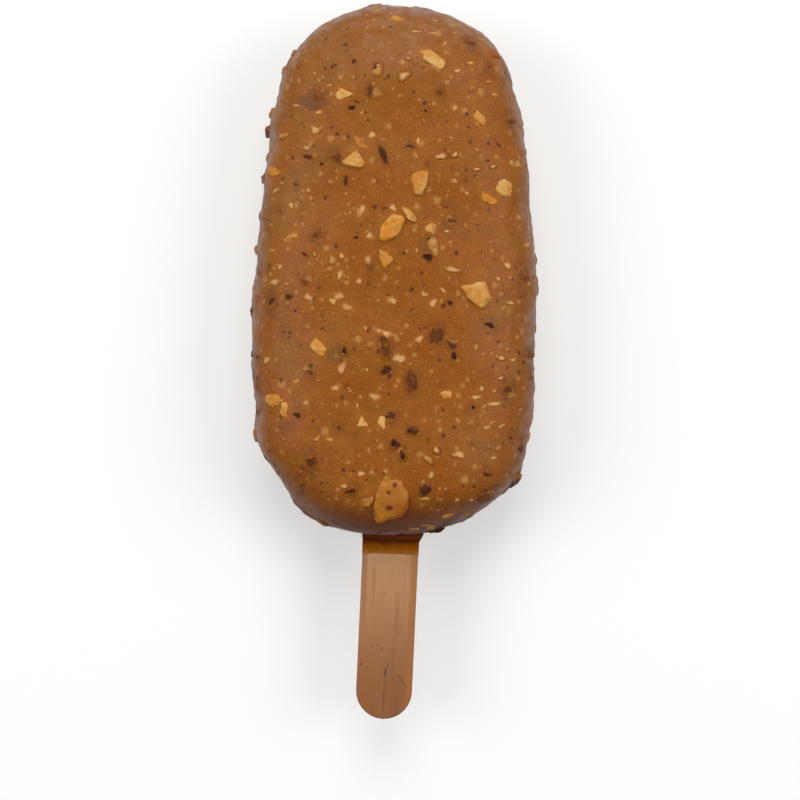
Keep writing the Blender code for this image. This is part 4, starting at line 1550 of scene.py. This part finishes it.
@dataclass(frozen=True)
class ToppingFinish:
    """A topping's own colours, with the coating's colour over it in patches and where it dips under it.

    fade is where the coating closes over its rim, from and to, and blend is how uneven that is.
    """

    name: str
    pattern: Pattern
    low: Colour
    high: Colour
    pit: Colour
    ior: float
    fade: tuple[float, float]
    blend: float
    marks: tuple[Mark, ...] = ()
    roughness: float = 0.5
    relief: float = 0.12 * MM
    sheen_cover: float = 0.45
    # Share of the coating's colour, with its painted sheen, laid over the topping where the painted sheen
    # lies
    grain: float = 0.8
    patches: tuple[float, float, float] = (0.9, 2.0, 0.55)
    pores: tuple[float, float, float] = (0.32, 3.0, 0.65)
    clouds: tuple[float, float, float] = (1.3, 2.0, 0.6)
    # Painted shade towards a chunk's base: lower points get a more toasted tone
    painted_base_shade: tuple[float, float, float, float] = (0.05, 0.55, 0.40, 0.0)
    pored: tuple[float, float, float, float] = (0.44, 0.26, 0.0, 0.55)
    tone_spread: float = 2.0
    film_spread: float = 0.45
    film: tuple[float, float, float, float] = (-0.04, 0.18, 1.0, 0.0)
    cover_gain: float = 0.45
    least_cover: float = 0.25
    patch_edge: tuple[float, float, float, float] = (-0.12, 0.08, 0.0, 0.80)
    even_cover: float = 0.70

    def make(self) -> Finish:
        """Builds the material from the mesh's height, tone, cover, rim, painted sheen and painted neck shade
        values.

        Returns:
            The finish.
        """
        finish = Finish(self.name)
        board = finish.board
        place = board.millimetres()
        height, cover, painted_sheen = (board.attribute(name) for name in ("height", "cover", "painted_sheen"))
        patch = board.noise(place, *self.patches)
        pores = board.noise(place, *self.pores)
        # Painted shade: the tone moves towards the toasted colour lower on the chunk
        tone = board.plus(board.attribute("tone"), board.ease(height, *self.painted_base_shade))
        tone = board.math("ADD", tone, board.about_zero(patch, self.tone_spread), clamp=True)
        colour = board.mix(tone, self.low, self.high)
        colour = board.mix(board.ease(pores, *self.pored), colour, self.pit)
        film = board.ease(board.plus(height, board.about_zero(patch, self.film_spread)), *self.film)
        cloud = board.noise(place, *self.clouds)
        wanted = board.plus(board.times(cover, self.cover_gain), self.least_cover)
        hidden = board.ease(board.math("SUBTRACT", wanted, cloud), *self.patch_edge)
        hidden = board.larger(hidden, board.times(cover, self.even_cover))
        rim = board.plus(board.attribute("rim"), board.about_zero(cloud, self.blend))
        over = board.larger(board.larger(film, hidden), board.ease(rim, *self.fade))
        look = self.pattern.put(board, grain=self.grain, painted_sheen=painted_sheen, neck=board.attribute("neck_shade"))
        # Painted sheen: the coating's colour laid over the topping by the painted sheen mask
        colour = board.mix(board.times(painted_sheen, self.sheen_cover), colour, look.outputs["Color"])
        colour = board.mix(over, colour, look.outputs["Color"])
        for mark in self.marks:
            colour = mark.paint(board, place, colour)
        board.feed(finish.shader.inputs["Base Color"], colour)
        finish.shader.inputs["Roughness"].default_value = self.roughness
        finish.shader.inputs["IOR"].default_value = self.ior
        board.feed(finish.shader.inputs["Normal"], board.bump(pores, 1.0, self.relief))
        return finish


@dataclass(frozen=True)
class StickPlace:
    """Sizes and place of the stick in the bar's neck, the same as its solid."""

    width: float = 10.0 * MM
    thick: float = 2.0 * MM
    shown: float = 33.0 * MM
    lean: float = math.radians(2.1)
    neck_y: float = -47.3 * MM
    mid_z: float = 11.82 * MM

    def put(self, local: np.ndarray) -> np.ndarray:
        """Turns points by the stick's lean and moves them to the neck.

        Args:
            local: Points in the stick's own directions.

        Returns:
            The points in the frame.
        """
        cos, sin = math.cos(self.lean), math.sin(self.lean)
        turn = np.array([[cos, sin, 0], [-sin, cos, 0], [0, 0, 1]])
        return local @ turn.T + np.array([0, self.neck_y, self.mid_z])

    def sleeve(self, stations: np.ndarray, walls: np.ndarray, square: float, points: int) -> Surface:
        """A closed sleeve round the stick: at each station a superellipse that stands off it by the wall.

        Args:
            stations: Stations along the stick for each row and point of a ring.
            walls: Stand-off from the stick for each row and point.
            square: Power of the superellipse's sine and cosine.
            points: Points in a ring.

        Returns:
            The sleeve, closed in the middle of the stick at both ends.
        """
        angles = -2 * math.pi * np.arange(points) / points
        x = (self.width / 2 + walls) * signed_power(np.cos(angles), square)
        z = (self.thick / 2 + walls) * signed_power(np.sin(angles), square)
        rings = np.stack([x, stations + 0 * x, z], axis=-1)
        first, last = ([[0, float(stations[row].mean()), 0]] for row in (0, -1))
        placed = self.put(np.vstack([first, rings.reshape(-1, 3), last]))
        return Surface(placed, closed_rings(len(rings), points), {})


@dataclass(frozen=True)
class CoatedBar:
    """The coating, with the nuts and flakes that show in it."""

    form: BarForm
    around_count: int = 262
    along_count: int = 378
    back_share: float = 0.45
    shown_depth: float = 4.0 * MM
    outline_share: float = 0.6
    samples: int = 20001
    reach_share: float = 0.7
    reach_more: float = 1.2
    least_rise: float = 0.1
    rim: float = 0.4 * MM
    tint_edge: tuple[float, float] = (0.7, 1.4)
    full_tint_width: float = 2.0

    def angles(self) -> np.ndarray:
        """Angles of the grid's columns, spaced by length round the widest section, closer on the shown half.

        Returns:
            The angles in radians.
        """
        fine = np.linspace(0, 2 * math.pi, self.samples)
        points = self.form.even_skin(fine, np.full(fine.shape, self.form.widest_y))
        steps = np.linalg.norm(np.diff(points, axis=0), axis=-1)
        weight = np.where(points[1:, 2] > self.form.mid_z - self.shown_depth, 1.0, self.back_share)
        travelled = np.concatenate([[0], np.cumsum(steps * weight)])
        wanted = travelled[-1] * np.arange(self.around_count) / self.around_count
        return np.interp(wanted, travelled, fine)

    def stations(self) -> np.ndarray:
        """Stations of the grid's rows, spaced by length along the bar's outline from tip to neck.

        Returns:
            The stations in metres.
        """
        share = 0.5 * (1 - np.cos(np.linspace(0, math.pi, self.samples)))
        fine = self.form.tip_y + (self.form.neck_y - self.form.tip_y) * share
        steps = np.hypot(np.diff(fine), self.outline_share * np.diff(self.form.half_width(fine, 1.0)))
        travelled = np.concatenate([[0], np.cumsum(steps)])
        wanted = travelled[-1] * (np.arange(self.along_count) + 0.5) / self.along_count
        return np.interp(wanted, travelled, fine)

    def coat(self, large: list[Topping], small: list[Topping], chunks: Chunks) -> Surface:
        """The coat: the wavy skin on a grid, with lumps of noise and a narrow rise against each topping.

        Args:
            large: The large toppings.
            small: The small ones.
            chunks: How the coating rises against a topping.

        Returns:
            The closed coat, with how near each point is to a nut or a flake.
        """
        around, y = np.meshgrid(self.angles(), self.stations())
        points = self.form.skin(around.ravel(), y.ravel())
        _, outwards = self.form.height_above(points)
        relief = self.form.fine_lumps(points, outwards)
        near = {Kind.NUT: np.zeros(len(points)), Kind.FLAKE: np.zeros(len(points))}
        for row in [*large, *small]:
            here, axes = chunks.place(row)
            reach = (self.reach_share * row.long + self.reach_more) * MM
            close = np.flatnonzero((np.abs(points - here) < reach).all(axis=-1))
            local = (points[close] - here) @ axes.T
            if row.rise > self.least_rise:
                relief[close] += chunks.lift(local, row)
            halves = 0.5 * np.array([row.long, row.wide]) * MM + self.rim
            apart = np.hypot(*(local[:, :2] / halves).T)
            tint = (1 - smooth_step(apart, *self.tint_edge)) * min(1.0, row.wide / self.full_tint_width)
            near[row.kind][close] = np.maximum(near[row.kind][close], tint)
        points = points + outwards * relief[:, None]
        points[:, 2] = np.maximum(points[:, 2], 0.0)
        poles = np.array([[0, self.form.tip_y, self.form.mid_z], [0, self.form.neck_y, self.form.mid_z]])
        everything = np.vstack([poles[:1], points, poles[1:]])
        values = {"nut_near": near[Kind.NUT], "flake_near": near[Kind.FLAKE]}
        values.update(self.form.painted_light(points, outwards))
        values = {name: np.concatenate([[0], value, [0]]) for name, value in values.items()}
        return Surface(everything, closed_rings(self.along_count, self.around_count), values)


def ripple(angles: np.ndarray, sines: tuple[tuple[float, int, float], ...]) -> np.ndarray:
    """Waves round a ring: the sum of sines, each with its height, count and turn."""
    return sum(height * np.sin(count * angles + turn) for height, count, turn in sines)


@dataclass(frozen=True)
class Drip:
    """Drip of coating round the stick, from inside the bar down to its thin lower edge."""

    place: StickPlace
    points: int = 96
    rows: tuple[tuple[float, float], ...] = (
        (4.0 * MM, 1.4 * MM),
        (1.0 * MM, 0.95 * MM),
        (0.0, 0.70 * MM),
        (-0.3 * MM, 0.56 * MM),
        (-0.6 * MM, 0.42 * MM),
        (-0.85 * MM, 0.30 * MM),
        (-1.05 * MM, 0.19 * MM),
        (-1.15 * MM, 0.07 * MM),
        (-1.12 * MM, -0.2 * MM),
    )
    left_share: float = 0.35
    sways: tuple[tuple[float, int, float], ...] = ((0.20 * MM, 3, 0.6), (0.12 * MM, 7, 2.0))
    sway_length: float = 1.1 * MM
    square: float = 0.45

    def build(self) -> Surface:
        """A sleeve whose wall thins downwards and to the left, with a slightly wavy lower edge.

        Returns:
            The sleeve.
        """
        angles = 2 * math.pi * np.arange(self.points) / self.points
        stations = np.array([y for y, _ in self.rows])[:, None]
        walls = np.array([wall for _, wall in self.rows])[:, None]
        sway = ripple(angles, self.sways) * smooth_step(-stations, 0.0, self.sway_length)
        fuller = self.left_share + (1 - self.left_share) * 0.5 * (1 + np.cos(angles))
        return self.place.sleeve(stations + sway, walls * fuller, self.square, self.points)


@dataclass(frozen=True)
class CaramelFilm:
    """Thin amber film that ran down the stick."""

    place: StickPlace
    points: int = 160
    thick: float = 0.07 * MM
    length: float = 3.7 * MM
    shares: tuple[float, ...] = (0.0, 0.3, 0.6, 0.8, 0.9, 0.96, 1.0, 1.0)
    walls: tuple[float, ...] = (1.0, 1.0, 1.0, 0.95, 0.8, 0.5, 0.1, -3.0)
    inside: float = 1.0 * MM
    sways: tuple[tuple[float, int, float], ...] = ((0.22 * MM, 2, 1.0), (0.10 * MM, 5, 0.0))
    square: float = 0.16

    def build(self) -> Surface:
        """A sleeve of nearly even wall that tapers out at a wavy lower edge.

        Returns:
            The sleeve.
        """
        angles = 2 * math.pi * np.arange(self.points) / self.points
        share = np.array(self.shares)[:, None]
        walls = np.array(self.walls)[:, None] * self.thick
        end = self.length + ripple(angles, self.sways)
        stations = self.inside - share * (end + self.inside)
        return self.place.sleeve(stations, walls + 0 * angles, self.square, self.points)


@dataclass(frozen=True)
class FilmFinish:
    """Amber film, with a painted shadow under the coating's edge and lighter at its lower edge."""

    name: str
    from_y: float
    to_y: float
    # dark is a painted shadow of the coating's edge at the film's top
    dark: Colour = linear(74, 28, 3)
    amber: Colour = linear(126, 68, 2)
    thin: Colour = linear(156, 104, 44)
    thin_length: float = 1.8
    roughness: float = 0.35
    ior: float = 1.15
    patches: tuple[float, float, float] = (1.6, 2.0, 0.5)
    patch_reach: float = 1.2
    bump: float = 0.4
    relief: float = 0.05 * MM

    def make(self) -> Finish:
        """Builds the material: dark at from_y, easing to amber at to_y down the stick, broken up by noise.

        Returns:
            The finish.
        """
        finish = Finish(self.name)
        board = finish.board
        place = board.millimetres()
        patch = board.noise(place, *self.patches)
        down = board.plus(board.split(place)[1], board.times(patch, self.patch_reach))
        # Painted shadow: darkest at from_y, under the coating's edge
        colour = board.mix(board.ease(down, self.from_y, self.to_y), self.dark, self.amber)
        colour = board.mix(board.ease(down, self.to_y, self.to_y - self.thin_length), colour, self.thin)
        board.feed(finish.shader.inputs["Base Color"], colour)
        finish.shader.inputs["Roughness"].default_value = self.roughness
        finish.shader.inputs["IOR"].default_value = self.ior
        board.feed(finish.shader.inputs["Normal"], board.bump(patch, self.bump, self.relief))
        return finish


# Where the drip and the film ease from one colour to the next, in millimetres, and the drip's two colours
DRIP_SPAN = (-47.2, -48.0)
# The drip's colours are darkened all over as painted shade under the bar's edge
DRIP_SHADE_TOP = linear(98, 46, 18)
DRIP_SHADE_EDGE = linear(70, 26, 4)
FILM_SPAN = (-47.6, -48.9)

# Slit, lines and specks of the stick, in its own directions: across from its middle line, along from the neck
WOOD_DARK = linear(70, 36, 18)
WOOD_MARKS = (
    Mark(0.10, -24.6, 1.0, 0.30, 0.85, WOOD_DARK, (1.0, 0.22, 0.0)),
    Mark(0.00, -29.0, 1.0, 0.22, 0.45, WOOD_DARK, (1.0, 0.045, 0.0)),
    Mark(0.45, -23.2, 1.0, 0.20, 0.50, WOOD_DARK, (1.0, 0.30, 0.0)),
    Mark(-2.55, -20.2, 1.0, 0.22, 0.70, WOOD_DARK, (1.0, 0.8, 0.0)),
    Mark(-1.50, -19.9, 1.0, 0.20, 0.60, WOOD_DARK, (1.0, 0.6, 0.0)),
    Mark(-0.65, -20.5, 1.0, 0.20, 0.60, WOOD_DARK, (1.0, 0.6, 0.0)),
    Mark(-4.30, -23.3, 1.0, 0.28, 0.60, WOOD_DARK, (1.0, 0.6, 0.0)),
    Mark(3.10, -26.0, 1.0, 0.17, 0.60, WOOD_DARK, (1.0, 0.09, 0.0), 41.0),
    Mark(-1.90, -31.6, 1.0, 0.22, 0.40, WOOD_DARK, (1.0, 0.16, 0.0)),
    Mark(-2.70, -9.0, 1.0, 0.30, 0.22, WOOD_DARK, (1.0, 0.06, 0.0)),
    Mark(1.80, -14.0, 1.0, 0.26, 0.20, WOOD_DARK, (1.0, 0.05, 0.0)),
)


@dataclass(frozen=True)
class WoodFinish:
    """Raw birch: fine grain along the stick, pinkish tan near the bar and darker at the end."""

    place: StickPlace
    pale: Colour = linear(180, 134, 94)
    tan: Colour = linear(136, 82, 38)
    line: Colour = linear(108, 62, 28)
    orange: Colour = linear(150, 92, 40)
    roughness: float = 0.65
    stretch: tuple[float, float, float] = (1.0, 0.045, 1.0)
    broad_grain: tuple[float, float, float] = (1.7, 2.0, 0.5)
    fine_grain: tuple[float, float, float] = (0.20, 4.0, 0.7)
    tan_reach: float = 4.0
    tan_along: tuple[float, float] = (3.0, -28.0)
    broad_lines: tuple[float, float, float, float] = (0.52, 0.72, 0.0, 0.45)
    fine_lines: tuple[float, float, float, float] = (0.45, 0.75, 0.0, 0.32)
    edge_spread: float = 1.2
    orange_edge: tuple[float, float, float, float] = (3.4, 4.3, 0.0, 0.75)
    bump: float = 0.5
    relief: float = 0.08 * MM

    def make(self) -> Finish:
        """Builds the material on coordinates that run along the stick.

        Returns:
            The finish.
        """
        finish = Finish("birch")
        board = finish.board
        turned = board.add("ShaderNodeMapping", vector_type="POINT")
        board.feed(turned.inputs["Vector"], board.millimetres())
        turned.inputs["Rotation"].default_value = (0, 0, self.place.lean)
        cos, sin = math.cos(self.place.lean), math.sin(self.place.lean)
        down = self.place.neck_y / MM
        turned.inputs["Location"].default_value = (sin * down, -cos * down, -self.place.mid_z / MM)
        place = turned.outputs[0]
        x, y = board.split(place)
        streak = board.add("ShaderNodeVectorMath", operation="MULTIPLY")
        board.feed(streak.inputs[0], place)
        streak.inputs[1].default_value = self.stretch
        broad = board.noise(streak.outputs[0], *self.broad_grain)
        fine = board.noise(streak.outputs[0], *self.fine_grain)
        along = board.plus(y, board.times(broad, self.tan_reach))
        colour = board.mix(board.ease(along, *self.tan_along), self.pale, self.tan)
        colour = board.mix(board.ease(broad, *self.broad_lines), colour, self.line)
        colour = board.mix(board.ease(fine, *self.fine_lines), colour, self.line)
        edge = board.plus(x, board.about_zero(broad, self.edge_spread))
        colour = board.mix(board.ease(edge, *self.orange_edge), colour, self.orange)
        for mark in WOOD_MARKS:
            colour = mark.paint(board, place, colour)
        board.feed(finish.shader.inputs["Base Color"], colour)
        finish.shader.inputs["Roughness"].default_value = self.roughness
        board.feed(finish.shader.inputs["Normal"], board.bump(fine, self.bump, self.relief))
        return finish


@dataclass(frozen=True)
class Studio:
    """Pale floor, soft light and the camera that looks straight down."""

    distance: float = 400.0 * MM
    over_x: float = 1.36 * MM
    over_y: float = -23.2 * MM
    roll: float = math.radians(0.52)
    pixels_per_metre: float = 5580.0
    picture: int = 800
    sensor: float = 36.0
    floor_half: float = 3.0
    floor_lines: int = 9
    mid_z: float = 11.82 * MM
    lamps: tuple[tuple[float, float, float, float], ...] = (
        (-0.62, 0.05, 0.60, 3.5),
        (0.62, 0.05, 0.60, 3.5),
        (0.0, 0.60, 0.68, 3.8),
    )
    lamp_size: float = 0.5
    lamp_colour: tuple[float, float, float] = (1.0, 0.98, 0.95)
    clip_start: float = 0.01
    fill: float = 0.26
    fill_ease: tuple[float, float] = (-0.9, 0.9)
    fill_shares: tuple[float, float] = (0.3, 1.7)
    surround: Colour = (1.0, 0.985, 0.97, 1.0)
    seen_surround: float = 0.95
    white: Colour = (1.0, 1.0, 1.0, 1.0)
    floor_tone: float = 0.52
    floor_glow: float = 0.42
    floor_roughness: float = 0.9

    def camera(self) -> None:
        """Places the camera over the middle of the picture, with a lens that gives the picture's scale."""
        data = bpy.data.cameras.new("camera")
        data.sensor_width = self.sensor
        data.lens = self.sensor * self.distance * self.pixels_per_metre / self.picture
        data.clip_start = self.clip_start
        camera = bpy.data.objects.new("camera", data)
        camera.location = (self.over_x, self.over_y, self.mid_z + self.distance)
        camera.rotation_euler = (0, 0, self.roll)
        bpy.context.scene.collection.objects.link(camera)
        bpy.context.scene.camera = camera

    def floor(self) -> None:
        """Lays the pale floor, a large square grid at height 0."""
        side = np.linspace(-self.floor_half, self.floor_half, self.floor_lines)
        x, y = np.meshgrid(side, side)
        points = np.stack([x, y, 0 * x], axis=-1).reshape(-1, 3)
        index = np.arange(self.floor_lines**2).reshape(self.floor_lines, self.floor_lines)
        quads = np.stack([index[:-1, :-1], index[:-1, 1:], index[1:, 1:], index[1:, :-1]], axis=-1)
        faces = [tuple(face) for face in quads.reshape(-1, 4).tolist()]
        made = Surface(points, faces, {}).make("floor")
        finish = Finish("pale floor")
        finish.shader.inputs["Base Color"].default_value = (*[self.floor_tone] * 3, 1.0)
        finish.shader.inputs["Roughness"].default_value = self.floor_roughness
        board = finish.board
        seen = board.add("ShaderNodeLightPath").outputs["Is Camera Ray"]
        board.feed(finish.shader.inputs["Emission Strength"], board.times(seen, self.floor_glow))
        finish.shader.inputs["Emission Color"].default_value = self.white
        finish.wear(made)

    def light(self) -> None:
        """Hangs soft lights on the left, on the right and beyond the tip, and sets a pale surround."""
        for x, y, z, power in self.lamps:
            data = bpy.data.lights.new("soft light", "AREA")
            data.size = self.lamp_size
            data.energy = power
            data.color = self.lamp_colour
            lamp = bpy.data.objects.new("soft light", data)
            lamp.location = (x, y, z)
            lamp.rotation_euler = Vector((x, y, z)).to_track_quat("Z", "Y").to_euler()
            bpy.context.scene.collection.objects.link(lamp)
        world = bpy.data.worlds.new("pale surround")
        world.use_nodes = True
        board = Board(world.node_tree)
        surround = world.node_tree.nodes["Background"]
        _, along = board.split(board.add("ShaderNodeTexCoord").outputs["Generated"])
        least, most = (share * self.fill for share in self.fill_shares)
        glow = board.ease(along, *self.fill_ease, least, most)
        seen = board.add("ShaderNodeLightPath").outputs["Is Camera Ray"]
        lit = board.times(glow, board.math("SUBTRACT", 1.0, seen))
        strength = board.plus(lit, board.times(seen, self.seen_surround))
        surround.inputs["Color"].default_value = self.surround
        board.feed(surround.inputs["Strength"], strength)
        bpy.context.scene.world = world
        bpy.context.scene.view_settings.view_transform = "Standard"

    def build(self) -> None:
        """Sets up the camera, the floor and the light."""
        self.camera()
        self.floor()
        self.light()


def seat(piece: bpy.types.Object, finish: Finish, slot: str, *nodes: str) -> None:
    """Dresses a finished piece and seats it on the model's body.

    Args:
        piece: The piece.
        finish: Its material.
        slot: Not used.
        nodes: The solids that it stands for.
    """
    finish.wear(piece)
    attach(piece, BODY)
    if nodes:
        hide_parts(*nodes)
    corners = np.array([corner[:] for corner in piece.bound_box]) / MM
    size = " x ".join(f"{value:.1f}" for value in corners.max(axis=0) - corners.min(axis=0))
    LOG.info("%s: %s mm, %d faces", piece.name, size, len(piece.data.polygons))


def dress_toppings(form: BarForm, large: list[Topping], small: list[Topping], pattern: Pattern) -> None:
    """Builds and dresses the nuts and flakes, the large ones as chunks and the small ones as thin lenses.

    Args:
        form: The bar's form.
        large: The large toppings.
        small: The small toppings.
        pattern: The coating's pattern.
    """
    shapes = {Kind.NUT: Chunks(form), Kind.FLAKE: Chunks(form, roughness=RAGGED)}
    nut = ToppingFinish("chopped nut", pattern, CREAM, TOASTED, NUT_PIT, 1.35, (1.7, 2.2), 0.3, NUT_MARKS)
    crumb = ToppingFinish("nut crumb", pattern, CRUMB, TAN, NUT_PIT, 1.3, (0.25, 1.0), 0.7)
    flake = ToppingFinish("dark flake", pattern, BLACK, BROWN, INK, 1.18, (0.75, 1.1), 1.1)
    speck = ToppingFinish("dark speck", pattern, BLACK, BROWN, INK, 1.18, (0.5, 1.0), 0.7)
    looks = {Kind.NUT: (nut, crumb, "nut"), Kind.FLAKE: (flake, speck, "dark_flake")}
    for kind, (finish, tiny_finish, slot) in looks.items():
        seat(shapes[kind].build(large, kind).make(f"large_{kind.value}s"), finish.make(), slot)
        tiny = [row for row in small if row.kind is kind]
        seat(Patches(form).build(tiny, shapes[kind]).make(f"small_{kind.value}s"), tiny_finish.make(), slot)


def main() -> None:
    """Builds the studio and every piece in order."""
    logging.basicConfig(level=logging.INFO, format="%(name)s: %(message)s")
    Studio().build()
    form = BarForm()
    large = Spread(form).all_over()
    small = Crumbs(form).all_over(large)
    pattern = CoatingPattern().build()
    coating = CoatingFinish(pattern).make()
    seat(CoatedBar(form).coat(large, small, Chunks(form)).make("coating"), coating, "coating", "bar")
    dress_toppings(form, large, small, pattern)

    place = StickPlace()
    drip = FilmFinish("drip", *DRIP_SPAN, DRIP_SHADE_TOP, DRIP_SHADE_EDGE).make()
    seat(Drip(place).build().make("drip"), drip, "coating")
    film = FilmFinish("amber film", *FILM_SPAN).make()
    seat(CaramelFilm(place).build().make("caramel_film"), film, "caramel")
    wood = WoodFinish(place).make()
    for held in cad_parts["stick"].material_slots:
        held.material = wood.material
    LOG.info("stick: birch finish on its solid")


if __name__ == "__main__":
    main()
